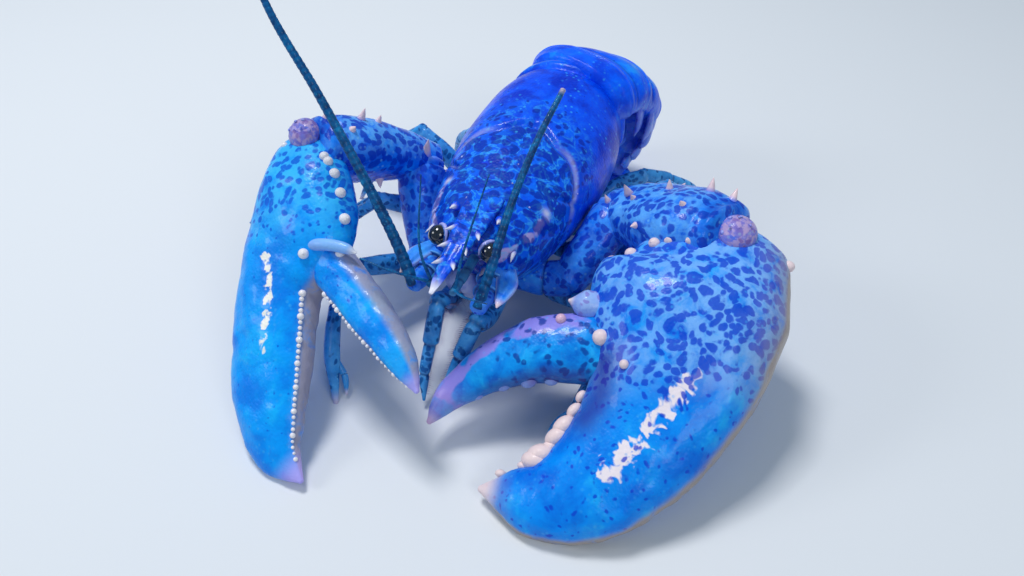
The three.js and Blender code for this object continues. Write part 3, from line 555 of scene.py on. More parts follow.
feelerShell = shellMaterial(
    "feelerShell", deep="053c70", ground="075e98", bright="0c7cb4", vein="2c96c0", pale="6aa6d8",
    spot="04304f", cloudSize=5.0, grainSize=0.6, grainHeight=0.05, rough=0.4, coat=0.15,
    veinShare=0.0, spotShare=0.4)
bellyShell = shellMaterial(
    "bellyShell", deep="5f78c8", ground="7590dc", bright="9bb0ea", vein="c8cfea", spot="4a62b4",
    pale="c4caf0", cloudSize=8.0, rough=0.42, coat=0.2)

eye = {
    "ball": (10.5, -6, 62.5), "root": (4, 0, 60), "radius": 3.9, "facetSize": 0.22,
    "stalk": ([0, 2.6], [0.55, 2.4], [0.8, 3.6], [0.9, 3.95], [1, 3.7]),
}


def eyeMaterial():
    n = Look("eyeGloss")
    place = n.place()
    dark = n.mix(n.between(n.noise(place, 2.4), 0.3, 0.7), tone("04060c"), tone("0d1a30"))
    rim = n.times(n.marks("marksB")[0], n.between(n.noise(place, 2.0, 3.0), 0.25, 0.5))
    bump = n.node("ShaderNodeBump", {"Strength": 0.25, "Distance": 0.03 * millimetre,
                                     "Height": n.cells(place, eye["facetSize"])})
    return n.finish({"Base Color": n.mix(rim, dark, tone("2b6fc4")), "Normal": bump, "Roughness": 0.08,
                     "Coat Weight": 1.0, "Coat Roughness": 0.03})


eyeGloss = eyeMaterial()
print("materials")

rostrum = {
    "points": ((0, 14, 71), (0, 0, 68), (-0.5, -15.5, 64.5), (-1, -31, 59)),
    "half": ([0, 7], [0.33, 6], [0.66, 3.4], [0.9, 1.7], [1, 0.5]),
    "rise": ([0, 0.3], [0.25, 1.7], [0.5, 2.4], [1, 0.5]), "drop": ([0, 3], [0.5, 2.6], [1, 0.5]),
    "grid": (80, 48), "keelDepth": 0.8, "waveHeight": 0.12,
    "spines": ((0.42, 5.0), (0.58, 5.5), (0.73, 5.0)), "spineRadius": 1.25,    # place along, length
    "browSpines": (((9, 5, 69), (9.5, 0.5, 71)), ((16, 5, 58), (17.5, -3, 58.5))), "browRadius": 1.3,
}


# The shield over head and thorax: neck groove, a groove over the jaws, midline groove and rims.
def addShield(skin):
    d = carapace
    t, a, rings = carapaceForm.grid(*d["grid"])
    aside = turnBetween(a, pi / 2)    # 0 on the back, a right angle on the flank
    neck = (0.56 - 0.07 * smooth(0.0, 0.5, aside) - 0.14 * smooth(0.5, 1.5, aside)
            - 0.1 * smooth(1.4, 2.2, aside))
    inGroove = hill(t, neck, d["grooveWidth"]) * smooth(2.35, 1.9, aside)
    jaw = 0.3 + 0.1 * smooth(0.7, 1.5, aside)
    overJaw = hill(t, jaw, 0.012) * smooth(0.55, 0.9, aside) * smooth(1.9, 1.5, aside)
    midline = hill(aside, 0, 0.035) * smooth(0.3, 0.45, t) * smooth(0.98, 0.9, t)
    rear = smooth(0.955, 0.975, t)
    bulge = 1.1 * hill(t, 0.42, 0.13) * smooth(1.5, 0.6, aside) + 0.6 * hill(t, 0.75, 0.2)
    height = (-d["grooveDepth"] * inGroove - d["jawDepth"] * overJaw - d["midlineDepth"] * midline
              + d["rearRim"] * rear - d["rearGroove"] * hill(t, 0.95, 0.009)
              + d["sideRim"] * hill(aside, 2.3, 0.09) + bulge
              + d["waveHeight"] * waves(rings, d["waveSize"], 3))
    rings = raised(rings, height * smooth(0.0, 0.04, t))
    ahead = smooth(neck + 0.05, neck - 0.06, t)
    behind = hill(t, neck + 0.09, 0.07) * smooth(1.9, 1.2, aside)
    streak = hill(aside - 1.07 + 0.5 * (t - 0.1), 0, 0.2) * smooth(0.27, 0.21, t)
    brink = hill(t, neck + 0.012, 0.008) * smooth(0.3, 0.7, aside) * smooth(1.7, 1.3, aside)
    whiteSpot = hill(t, 0.234, 0.014) * hill(aside, 0.92, 0.09)
    skin.tube(rings, {
        "pale": 0.6 * ahead + 0.35 * behind + 0.45 * smooth(1.55, 2.2, aside) + 0.4 * rear,
        "spots": 0.95 * ahead + 0.5 * behind + 0.18,
        "cream": streak + 0.3 * smooth(2.1, 2.5, aside) + 0.5 * smooth(0.04, 0.0, t),
        "rim": 0.6 * smooth(0.985, 0.995, t) * smooth(2.2, 1.8, aside),
        "tip": 0.32 * brink + 0.8 * whiteSpot, "deep": 0.2 * inGroove,
    }, dome=(0.12, 0.05))


# A form that follows the body's lean, from a piece's dictionary.
def bodyForm(d, side=left):
    return Form(bodyPoints(d["points"], side), d["half"], d.get("rise"), bodyAcross, drop=d.get("drop"))


# The raised rim round an eye.
def addOrbit(skin, side):
    ball, root = bodyPoints((eye["ball"], eye["root"]), side)
    ahead = unit(ball - root)
    upward = unit(np.cross(ahead, np.cross(vec(0, 0.5, 1), ahead)))
    across = np.cross(ahead, upward)
    radius, thickness = carapace["orbitRadius"], carapace["orbitThickness"]
    orbit = Form([ball - 1.3 * ahead + radius * (math.cos(q) * upward + math.sin(q) * across)
                  for q in np.linspace(-1.9, 1.9, 9)], across=ahead,
                 half=([0, 0.3], [0.5, 1.3 * thickness], [1, 0.3]),
                 rise=([0, 0.3], [0.5, thickness], [1, 0.3]))
    skin.tube(orbit.grid(50, 16)[2], {"tip": 0.5}, dome=(0.5, 0.5))


def carapacePiece():
    skin = Skin()
    addShield(skin)
    form = bodyForm(rostrum)
    t, a, rings = form.grid(*rostrum["grid"])
    top = turnBetween(a, pi / 2)
    keel = -rostrum["keelDepth"] * hill(top, 0, 0.5) * smooth(1.0, 0.7, t) + 0.35 * hill(top, 1.2, 0.3)
    rings = raised(rings, keel + rostrum["waveHeight"] * waves(rings, 6, 5))
    skin.tube(rings, {"pale": 0.6, "spots": 0.8, "tip": smooth(0.86, 0.98, t)}, dome=(0.2, 0.8))
    for side in (left, right):
        for along, length in rostrum["spines"]:
            root = form.spot(along, 0.35 if side == left else pi - 0.35, -1.2)
            tip = root + length * vec(0.55 * side, -0.9, 0.25)
            skin.spine(root, tip, rostrum["spineRadius"], bend=(side * 0.6, 0, 0))
        for spine in rostrum["browSpines"]:
            skin.spine(*bodyPoints(spine, side), rostrum["browRadius"])
        addOrbit(skin, side)
    rng = np.random.default_rng(11)
    for _ in range(carapace["tubercles"]):
        t, a = rng.uniform(0.03, 0.5), pi / 2 + rng.normal(0, 0.75)
        radius = carapace["tubercleRadius"] * rng.uniform(0.5, 1.0)
        centre, out = carapaceForm.spot(t, a, 0.55), carapaceForm.outward(t, a)
        skin.bead(centre, radius, out, 0.8, 8, {"tip": 0.5})
    skin.build("carapaceShellPiece", carapaceShell, ["carapace"])


carapacePiece()
print("carapace")

# Underside of the thorax, with a ridge for each pair of legs.
thorax = {
    "points": ((0, 6, 31), (0, 40, 26), (0, 75, 25), (0, 102, 32)),
    "half": ([0, 8], [0.3, 12], [0.8, 16], [1, 12]),
    "rise": ([0, 11], [1, 11]), "drop": ([0, 3], [0.4, 6], [1, 6]),
    "grid": (120, 72), "ridges": 5, "ridgeHeight": 1.4, "middleDepth": 1.2,
}


def thoraxPiece():
    t, a, rings = bodyForm(thorax).grid(*thorax["grid"])
    below = smooth(0.2, -0.4, np.sin(a))
    wave = np.cos(2 * pi * thorax["ridges"] * t)
    middle = hill(np.cos(a), 0, 0.12)
    rings = raised(rings, below * (thorax["ridgeHeight"] * 0.5 * wave - thorax["middleDepth"] * middle))
    skin = Skin()
    skin.tube(rings, {"pale": 0.5 + 0.4 * wave * below, "spots": 0.3}, dome=(0.3, 0.3))
    skin.build("thoraxUnderside", bellyShell, ["thorax_underside"])


thoraxPiece()


# Eyes: a glossy ball on a stalk that flares into a rim behind it.
def eyePiece(side):
    ball, root = bodyPoints((eye["ball"], eye["root"]), side)
    skin = Skin()
    skin.bead(ball, eye["radius"], unit(ball - root), 1.0, 48, {})
    stalk = Form([root, root * 0.4 + ball * 0.6, ball], eye["stalk"], across=(0, 1, 0), corner=2)
    skin.tube(stalk.grid(40, 40)[2], {"rim": 1.0}, dome=(0.3, 0.05))
    skin.build("eye_" + sideNames[side], eyeGloss)


for side in (left, right):
    eyePiece(side)

# Antennae: stout jointed base with a pointed scale, and a long feeler of many short rings.
antennaStem = {
    "points": ((10.5, 1, 48), (11.5, -6, 47.5), (12.5, -13, 47.5), (13, -21, 49)),
    "half": ([0, 5.5], [0.3, 5.6], [0.34, 4.6], [0.64, 4.9], [0.68, 3.9], [1, 3.2]),
    "rise": ([0, 5], [0.3, 5], [0.34, 4.2], [0.64, 4.4], [0.68, 3.7], [1, 3.2]),
    "grid": (110, 48), "jointDepth": 0.7, "lipHeight": 0.35,
    "spines": (((8, -4, 52), (9, -11, 54.5), 1.2), ((14, -4, 44.5), (15.5, -10, 43), 1.0)),
}
antennaScale = {
    "points": ((15, 1, 50), (18.5, -8, 51), (19.5, -19, 50.5)),
    "half": ([0, 3.5], [0.4, 4.2], [0.8, 2.4], [1, 0.4]), "rise": ([0, 1.6], [0.7, 1.2], [1, 0.4]),
    "grid": (70, 40), "ribHeight": 0.25,
}


def antennaBasePiece(side):
    skin = Skin()
    t, a, rings = bodyForm(antennaStem, side).grid(*antennaStem["grid"])
    joint = hill(t, 0.33, 0.02) + hill(t, 0.66, 0.02)
    lip = hill(t, 0.29, 0.02) + hill(t, 0.62, 0.02)
    height = -antennaStem["jointDepth"] * joint + antennaStem["lipHeight"] * lip
    rings = raised(rings, height + 0.15 * waves(rings, 7, 9))
    skin.tube(rings, {"pale": 0.3 + 0.6 * lip, "spots": 0.5, "deep": 0.7 * joint}, dome=(0.3, 0.3))
    t, a, rings = bodyForm(antennaScale, side).grid(*antennaScale["grid"])
    edge = np.abs(np.cos(a)) ** 6
    rings = raised(rings, antennaScale["ribHeight"] * np.sin(9 * np.cos(a)) * smooth(1.0, 0.6, t))
    skin.tube(rings, {"pale": 0.35 + 0.5 * edge, "tip": np.maximum(smooth(0.8, 1, t), 0.45 * edge)},
              dome=(0.2, 0.8))
    for root, tip, radius in antennaStem["spines"]:
        skin.spine(*bodyPoints((root, tip), side), radius)
    skin.build("antennaBase_" + sideNames[side], armShell, ["antenna_base_" + sideNames[side]])


# Points after the stem's end, [place, radius] pairs, number of mesh rings, and how pale the tip is.
feelers = {
    right: {
        "points": ((-23, -14, 64), (-38, -7, 84), (-57, 1, 108), (-78, 9, 134),
                   (-98, 26, 160), (-115, 55, 180), (-125, 92, 190), (-128, 130, 190)),
        "thick": ([0, 2.4], [0.25, 1.9], [0.6, 1.15], [1, 0.4]), "grid": (620, 14), "tip": 0.0,
        "nodes": ("antenna_right_lower", "antenna_right_middle", "antenna_right_upper")},
    left: {
        "points": ((14.5, -9, 61), (15.5, 6, 77), (17.5, 25, 92), (20.5, 43, 104)),
        "thick": ([0, 2.3], [0.5, 1.55], [1, 1.1]), "grid": (240, 14), "tip": 0.5,
        "nodes": ("antenna_left_lower", "antenna_left_upper")},
}
ringDepth = 0.16    # of the notches between a feeler's rings, where it is 1.5 mm thick


def feelerPiece(side):
    feeler = feelers[side]
    root = bodyPoints(antennaStem["points"], side)[-1]
    form = Form([root, *feeler["points"]], feeler["thick"], across=(1, 0.2, 0), corner=2)
    t, _, rings = form.grid(*feeler["grid"])
    along = t[:, 0]
    length = np.cumsum(np.r_[0, np.linalg.norm(np.diff(rings.mean(1), axis=0), axis=1)])
    size = form.half(along)
    turn = np.cumsum(np.r_[0, np.diff(length) / (0.55 * size[1:] + 0.25)])
    notch = 1 - np.abs(np.sin(pi * turn / 2)) ** 0.6
    rings = raised(rings, (-ringDepth * size / 1.5 * notch)[:, None])
    skin = Skin()
    skin.tube(rings, {"deep": 0.5 * notch[:, None], "spots": 0.6,
                      "tip": feeler["tip"] * smooth(0.97, 1.0, t)}, dome=(0.3, 0.5))
    skin.build("feeler_" + sideNames[side], feelerShell, feeler["nodes"])


# Antennules: a short stem that forks into two fine branches, each with its bend and its tip.
antennule = {
    "points": ((3.5, -3, 55.5), (4, -14, 55.5), (4.5, -25, 56)), "half": ([0, 1.9], [0.5, 1.9], [1, 1.4]),
    "grid": (60, 20), "jointDepth": 0.35, "branchHalf": ([0, 0.7], [1, 0.26]), "branchGrid": (150, 8),
    "notches": 75, "notchDepth": 0.1, "bends": ((0, -5, -2), (0, -3, 3)),
    "tips": {left: ((11, -3, 94), (24, -36, 67)), right: ((-11, -11, 93), (-27, -31, 66))},
}


def antennulePiece(side):
    skin = Skin()
    d = antennule
    t, _, rings = bodyForm(d, side).grid(*d["grid"])
    joint = hill(t, 0.4, 0.03) + hill(t, 0.7, 0.03)
    skin.tube(raised(rings, -d["jointDepth"] * joint), {"pale": 0.3, "deep": 0.5 * joint})
    fork = bodyPoints(d["points"], side)[-1]
    for tip, bend in zip(d["tips"][side], d["bends"]):
        middle = (fork + vec(*tip)) / 2 + vec(*bend)
        branch = Form([fork + vec(0, 1.5, 0), middle, tip], d["branchHalf"], across=(1, 0.3, 0), corner=2)
        t, _, rings = branch.grid(*d["branchGrid"])
        notch = 1 - np.abs(np.sin(t * d["notches"])) ** 0.7
        skin.tube(raised(rings, -d["notchDepth"] * notch), {"deep": 0.4 * notch}, dome=(0.3, 0.6))
    skin.build("antennule_" + sideNames[side], feelerShell)


for side in (left, right):
    antennaBasePiece(side)
    feelerPiece(side)
    antennulePiece(side)
print("head")

# Mouth: jaws under the head, and the two leg-like mouthparts in front of them.
jaws = {
    "points": ((0, 12, 36), (0, 0, 38), (0, -6, 42)), "half": ([0, 9], [0.6, 8.5], [1, 5]),
    "rise": ([0, 6], [1, 6]), "drop": ([0, 5], [0.6, 5], [1, 3]), "grid": (60, 64), "splitDepth": 1.6,
}
mouthLeg = {
    "points": {
        left: ((8, 14, 26), (9.5, -4, 27), (9, -15, 31), (6, -23, 21), (3.5, -28, 11), (2, -31, 5)),
        right: ((-8, 14, 26), (-8, -4, 29), (-6.5, -15, 36), (-6.5, -23, 24), (-6.5, -30, 13),
                (-4.5, -36, 4))},
    "half": ([0, 4.2], [0.36, 4.2], [0.41, 3.2], [0.6, 3.2], [0.64, 2.4], [0.8, 2.2], [1, 0.6]),
    "rise": ([0, 4.6], [0.36, 4.2], [0.41, 3.4], [0.6, 3.2], [0.64, 2.5], [0.8, 2.2], [1, 0.6]),
    "grid": (140, 32), "jointDepth": 0.5, "rows": (-0.5, 0.1),    # angles from the inner side
    "bristles": {"Spacing": 0.8, "Radius": 0.16, "Length": 3.6, "Variation": 0.45, "Extra": 0.0, "Seed": 12,
                 "Material": legShell},
}


def jawsPiece():
    t, a, rings = bodyForm(jaws).grid(*jaws["grid"])
    split = hill(np.cos(a), 0, 0.08)
    plates = np.cos(2 * pi * 3 * t) * 0.4
    skin = Skin()
    skin.tube(raised(rings, -jaws["splitDepth"] * split + plates), {"pale": 0.8, "deep": 0.7 * split},
              dome=(0.2, 0.4))
    skin.build("jaws", bellyShell)


def mouthLegPiece(side):
    d = mouthLeg
    limb = Form(d["points"][side], d["half"], d["rise"])
    t, _, rings = limb.grid(*d["grid"])
    joint = hill(t, 0.4, 0.012) + hill(t, 0.62, 0.012) + hill(t, 0.81, 0.012)
    skin = Skin()
    skin.tube(raised(rings, -d["jointDepth"] * joint), {"pale": 0.35, "spots": 0.7, "deep": 0.6 * joint},
              dome=(0.3, 0.8))
    inner = pi if side * limb.outward(0.5, 0.0)[0] > 0 else 0.0
    for lean in d["rows"]:
        places = np.linspace(0.08, 0.95, 60)
        spots = [limb.spot(t, inner + lean, -0.1) for t in places]
        outs = [unit(limb.outward(t, inner + lean) + vec(0, -0.4, 0)) for t in places]
        addRow(skin, "bristle", spots, outs, np.linspace(1.1, 0.7, 60), {"rim": 0.8}, d["bristles"])
    skin.build("maxilliped_" + sideNames[side], legShell)


jawsPiece()
for side in (left, right):
    mouthLegPiece(side)
print("mouth")


# A claw's own directions: distal towards its tip, medial towards its moving finger, dorsal out of its face.
class ClawFrame:
    def __init__(self, claw):
        h, s, r = (math.radians(claw[key]) for key in ("heading", "slope", "roll"))
        self.side, self.wrist = claw["side"], vec(*claw["wrist"])
        self.distal = vec(self.side * math.sin(h) * math.cos(s), -math.cos(h) * math.cos(s), -math.sin(s))
        level = vec(-self.side * math.cos(h), -math.sin(h), 0)
        up = unit(np.cross(self.distal, level))
        up = -up if up[2] < 0 else up
        self.medial = level * math.cos(r) + up * math.sin(r)
        self.dorsal = up * math.cos(r) - level * math.sin(r)

    def place(self, m, d, up=0.0):
        return self.wrist + m * self.medial + d * self.distal + up * self.dorsal

    def local(self, points):
        away = points - self.wrist
        return away @ self.medial, away @ self.distal, away @ self.dorsal

    # A form through rows of medial place, distal place, half width, rise and drop.
    def form(self, rows, inner):
        rows = np.array(rows, float)
        half, rise, drop = (zip(np.linspace(0, 1, len(rows)), rows[:, k]) for k in (2, 3, 4))
        return Form([self.place(m, d) for m, d in rows[:, :2]], half, rise, inner, self.dorsal, planar=True,
                    drop=drop, corner=2.3)


# Heading, slope and roll are in degrees, and "rows" are as ClawFrame.form takes them. Teeth have place along
# and radius, beads have an angle round between these, and spines have a length before their radius.
claws = {
    "crusher": {
        "side": left, "wrist": (75, 41.5, 57), "heading": 21.4, "slope": 25, "roll": -8,
        "elbow": (44, 57, 47), "hip": (33, 27, 29), "seed": 31,
        "palm": {
            "rows": [(-1, 0, 16, 7, 9), (-2, 18, 33, 15, 16), (3, 35, 36, 21.5, 18), (8, 53, 32.5, 20, 16),
                     (16, 71, 27, 17, 13.5), (27, 86, 23, 15, 11.2), (42, 98, 19, 13, 9.2),
                     (57, 102, 14, 10.5, 7.4), (69, 100, 8.2, 6.5, 5.5), (79, 98, 1.2, 1.2, 1.2)],
            "grid": (250, 160), "beadTall": 1.05,
            "beads": [(0.105, 0.22, 2.6), (0.063, 0.47, 2.4), (0.05, 0.94, 2.2), (0.05, 1.2, 2.2),
                      (0.062, 1.5, 2.5), (0.105, 2.9, 2.2), (0.356, 0.58, 3.0), (0.406, 1.07, 1.7)],
            "teeth": [(0.52, 2.2), (0.57, 3.0), (0.62, 4.3), (0.665, 4.3), (0.72, 3.0), (0.765, 4.8),
                      (0.81, 4.8), (0.86, 2.0), (0.93, 1.8)],
            "toothSeat": (0.1, 0.8), "toothTip": 0.95,
            "lobe": [(32, 33, 5), (40, 32.5, 7), (46, 31, 8)], "lobeSize": ([0, 5.0], [0.5, 5.5], [1, 0.7]),
            "lobeMarks": {"pale": 0.6, "spots": 0.6}},
        "finger": {
            "rows": [(27, 50, 12, 10, 9), (40, 47.5, 13.5, 11.5, 10), (58, 47.5, 12.5, 10.5, 9.5),
                     (75, 53, 9.5, 8, 7), (90, 63, 6.2, 5.5, 4.5), (99, 74, 1, 1, 1)],
            "grid": (160, 96), "beadTall": 1.0, "beads": [(0.305, 2.2, 2.0)],
            "teeth": [(0.36, 2.4), (0.48, 2.8), (0.6, 2.3), (0.72, 1.8)],
            "toothSeat": (0.0, -0.8), "toothTip": 0.3},
        "knuckle": (-16, 8, 10.5), "knuckleRadius": 7.4,
        "carpusHalf": (8, 15, 20, 15), "carpusRise": (7, 12, 14.5, 11), "carpusEnd": (-12.5, 6, 6),
        "carpusSpines": [(0.335, 1.26, 6.5, 2.2), (0.45, 1.07, 2.5, 1.8), (0.63, 1.57, 4, 1.9),
                         (0.83, 1.07, 2, 2), (0.84, 1.83, 5, 2), (0.95, 2.09, 4.5, 2), (0.5, 2.6, 4, 1.8),
                         (0.6, 0.25, 3.5, 1.8)],
        "merusSpines": [(0.9, 1.3, 4.5, 1.8), (0.9, 2.2, 3.5, 1.6)]},
    "cutter": {
        "side": right, "wrist": (-72, 14, 76), "heading": -23, "slope": 33.4, "roll": 25,
        "elbow": (-46, 50, 53), "hip": (-33, 25, 30), "seed": 47,
        "palm": {
            "rows": [(-3, 0, 11, 7, 8), (-3.5, 9, 15.5, 11.5, 11), (-3.7, 20, 19.5, 14, 12.5),
                     (-4.2, 36, 23, 14, 12), (-9, 48, 21, 13, 11), (-13.5, 60, 18, 11.5, 9.5),
                     (-14.6, 76, 18.2, 10.5, 8.5), (-14.6, 93, 17.2, 9.2, 7.5), (-12.8, 109, 14.2, 7.5, 6),
                     (-8.5, 121.5, 9.6, 5, 4), (1.5, 131, 1, 1, 1)],
            "grid": (250, 140), "beadTall": 1.05, "toothRow": (0.5, 0.955, 1.0),    # from, to, radius
            "beads": [(0.113, 0.6, 1.9), (0.135, 0.5, 1.9), (0.18, 0.37, 2.1), (0.238, 0.31, 2.1),
                      (0.285, 0.24, 2.2), (0.038, 1.94, 1.3), (0.36, 0.92, 2.0)],
            "lobe": [(2, 46, 8), (12, 46.5, 9.5), (20, 48, 8), (25.5, 50.5, 6)],
            "lobeSize": ([0, 1.6], [0.3, 2.3], [0.8, 2.0], [1, 0.5]), "lobeMarks": {"pale": 0.15}},
        "finger": {
            "rows": [(3, 37, 8.5, 8, 7), (9, 49, 9.2, 7.8, 7), (19, 61, 8.8, 7, 6.5), (29, 73, 8.2, 6.4, 6),
                     (38, 84, 6.8, 5.3, 5), (45, 94, 4.3, 3.6, 3.4), (49, 101.5, 0.9, 0.9, 0.9)],
            "grid": (160, 84), "beadTall": 1.0, "beads": [(0.238, 2.38, 1.8)], "toothRow": (0.3, 0.93, 0.82)},
        "knuckle": (0, -0.5, 8), "knuckleRadius": 6.5,
        "carpusHalf": (8, 12.5, 16.5, 14.5), "carpusRise": (7, 11, 13, 12), "carpusEnd": (0, 3, 1),
        "carpusSpines": [(0.97, 1.07, 3, 1.7), (0.7, 0.92, 5, 2), (0.556, 0.86, 3.5, 1.8),
                         (0.84, 0.34, 2, 1.9), (0.47, 4.76, 4, 2.4), (0.5, 2.2, 3.5, 1.8),
                         (0.75, 2.6, 3.5, 1.8)],
        "merusSpines": [(0.95, 2.6, 9, 2.5), (0.9, 1.3, 3.5, 1.6)]},
}

# The three parts between body and claw. The shoulder and the ischium's middle are beside the body's middle.
arm = {
    "shoulder": (12, 24, 27), "ischiumMiddle": (23, 25, 27), "ischiumGrid": (60, 60),
    "ischiumHalf": ([0, 7], [0.5, 7.5], [1, 8]), "ischiumRise": ([0, 7], [0.5, 7], [1, 7.5]),
    "merusHalf": ([0, 7], [0.3, 8.6], [0.8, 10], [1, 8]),
    "merusRise": ([0, 7], [0.3, 9], [0.8, 11], [1, 8.5]), "merusGrid": (90, 80),
    "carpusGrid": (150, 130), "carpusPlaces": ((0, 0.3, 0.75, 1), (0, 0.35, 0.8, 1)),    # of half and rise
    "knuckleSink": 0.6, "knuckleSquash": 0.78, "granules": 9,
}


def addSpines(skin, host, spines, lean):
    for t, a, length, radius in spines:
        tip = host.spot(t, a) + unit(host.outward(t, a) + vec(*lean)) * length
        skin.spine(host.spot(t, a, -radius), tip, radius * 1.1)


def ischiumPiece(name, claw):
    shoulder, middle = (vec(claw["side"] * x, y, z) for x, y, z in (arm["shoulder"], arm["ischiumMiddle"]))
    form = Form([shoulder, middle, claw["hip"]], arm["ischiumHalf"], arm["ischiumRise"], across=(0, 1, 0))
    t, _, rings = form.grid(*arm["ischiumGrid"])
    joint = hill(t, 0.5, 0.03)
    skin = Skin()
    skin.tube(raised(rings, -0.8 * joint + 0.2 * waves(rings, 9, 21)),
              {"pale": 0.2, "spots": 0.6, "deep": 0.5 * joint})
    skin.build(name + "Ischium", armShell, [name + "_ischium"])


def merusPiece(name, claw):
    hip, elbow = vec(*claw["hip"]), vec(*claw["elbow"])
    form = Form([hip * 1.1 - elbow * 0.1, (hip + elbow) / 2, elbow], arm["merusHalf"], arm["merusRise"],
                across=(claw["side"], 0.4, 0))
    t, _, rings = form.grid(*arm["merusGrid"])
    collar = hill(t, 0.93, 0.025)
    rings = raised(rings, 0.7 * collar - 0.7 * hill(t, 0.86, 0.02) + 0.35 * waves(rings, 11, 23))
    skin = Skin()
    skin.tube(rings, {"pale": 0.25 + 0.5 * collar, "spots": 0.8 - 0.4 * collar, "tip": 0.15 * collar})
    addSpines(skin, form, claw["merusSpines"], (-0.3, 0.3, 0.8))
    skin.build(name + "Merus", armShell, [name + "_merus"])


# The carpus has a channel round its knuckle, which is a low dome with granules.
def carpusPiece(name, claw, axes):
    elbow, wrist, knuckle = vec(*claw["elbow"]), axes.wrist, axes.place(*claw["knuckle"])
    half, rise = (zip(places, claw[key])
                  for places, key in zip(arm["carpusPlaces"], ("carpusHalf", "carpusRise")))
    form = Form([elbow * 1.12 - wrist * 0.12, (elbow + wrist) / 2 + vec(0, 1, -1),
                 axes.place(*claw["carpusEnd"])], half, rise, axes.medial, axes.dorsal, corner=2.4)
    t, a, rings = form.grid(*arm["carpusGrid"])
    top, radius = np.sin(a), claw["knuckleRadius"]
    away = np.linalg.norm(rings - knuckle, axis=-1) / radius
    channel = hill(away, 1.75, 0.3) * smooth(-0.3, 0.2, top)
    rings = raised(rings, 0.6 * smooth(0.93, 0.97, t) - 0.5 * hill(t, 0.92, 0.015) - 1.3 * channel
                   + 0.55 * waves(rings, 15, 25))
    skin = Skin()
    skin.tube(rings, {
        "pale": (0.65 - 0.6 * hill(away, 1.8, 0.55)) * smooth(-0.6, 0.2, top), "spots": 0.85 - 0.1 * channel,
        "cream": 0.9 * smooth(1.5, 1.1, away), "rim": 0.4 * smooth(1.4, 1.1, away), "deep": 0.25 * channel,
    }, dome=(0.3, 0.15))
    skin.bead(knuckle - arm["knuckleSink"] * axes.dorsal, radius, axes.dorsal, arm["knuckleSquash"], 44,
              {"cream": 0.85, "rim": 0.4, "spots": 0.6})
    rng = np.random.default_rng(5)
    for _ in range(arm["granules"]):
        out = unit(axes.dorsal * rng.uniform(0.1, 1) + axes.medial * rng.normal(0, 0.6)
                   + axes.distal * rng.normal(0, 0.6))
        skin.bead(knuckle + out * (radius - 1.0), rng.uniform(0.5, 1.0), out, 0.6, 10, {"tip": 0.35})
    addSpines(skin, form, claw["carpusSpines"], axes.distal * 0.3)
    skin.build(name + "Carpus", armShell, [name + "_carpus"])


# How near places in a claw's plane are to a chain of [medial, distal] points, from 0 to 1 on the chain.
def nearChain(m, d, chain, width):
    best = np.zeros(m.shape)
    for (m0, d0), (m1, d1) in zip(chain, chain[1:]):
        span = (m1 - m0) ** 2 + (d1 - d0) ** 2
        share = np.clip(((m - m0) * (m1 - m0) + (d - d0) * (d1 - d0)) / span, 0, 1)
        gap = np.hypot(m - m0 - share * (m1 - m0), d - d0 - share * (d1 - d0))
        best = np.maximum(best, hill(gap, 0, width))
    return best


# Pale and dark patches of the palms, as chains with their widths.
patches = {
    "crusherCream": ([(3, 65), (8, 67.5), (13, 74), (20, 82.5), (27.5, 89), (35, 96)], 5.6),
    "crusherInner": ([(34, 56), (35.5, 68), (41, 76)], 6.0),
    "cutterCream": ([(-11, 49), (-8.6, 57), (-9.8, 66), (-10.6, 75), (-11.7, 84)], 2.6),
}


# Marks of the claws, from the medial, distal and dorsal place and the place along and round. The inner side
# is the one that bites.
def crusherPalmMarks(m, d, u, t, a):
    fromOuter = pi - turnBetween(a, 0)
    outer, brink = smooth(1.15, 0.35, fromOuter), smooth(0.5, 0.2, fromOuter) * smooth(18, 30, d)
    finger, above = smooth(58, 74, d), smooth(-0.25, 0.3, np.sin(a))
    cream = nearChain(m, d, *patches["crusherCream"])
    return {
        "pale": (0.95 - 0.25 * hill(m, 20, 12)) * (1 - finger) * above + 0.55 * (1 - above),
        "spots": (0.88 - 0.5 * finger) * (0.35 + 0.65 * above) + 0.2 * cream,
        "cream": cream * smooth(4, 9, u),
        "rim": 0.55 * outer * smooth(6, 20, d) * smooth(80, 55, d) + brink + 0.3 * smooth(64, 74, m),
        "tip": 0.85 * smooth(0.9, 0.98, t), "deep": 0.75 * nearChain(m, d, *patches["crusherInner"]),
    }


def cutterPalmMarks(m, d, u, t, a):
    fromInner = turnBetween(a, 0)
    outer = smooth(0.8, 0.2, pi - fromInner)
    inner = smooth(0.62, 0.3, fromInner) * smooth(50, 58, d)
    net = smooth(52, 24, d)
    return {
        "pale": 0.85 * net * smooth(-0.2, 0.4, np.sin(a)) + 0.5 * outer * smooth(36, 60, d),
        "spots": 0.2 + 0.62 * net + 0.1 * outer,
        "cream": nearChain(m, d, *patches["cutterCream"]) * smooth(3, 7, u),
        "rim": 0.95 * inner + 0.12 * outer, "deep": 0.85 * smooth(0.92, 0.99, t),
    }


# The crusher finger's deep share along its biting side is painted shade. Its other marks are the shell's own
# colours.
def crusherFingerMarks(m, d, u, t, a):
    fromInner = turnBetween(a, 0)
    inner, upper = smooth(1.0, 0.3, fromInner), smooth(1.75, 1.15, pi - fromInner)
    end = smooth(0.6, 0.85, t)
    return {
        "spots": 0.6 * smooth(0.8, 0.5, t), "cream": upper * smooth(0.1, 0.25, t) + 0.8 * end,
        "rim": 0.35 * smooth(0.7, 0.9, t), "tip": 0.6 * smooth(0.92, 1.0, t), "deep": 0.5 * inner * (1 - end),
    }


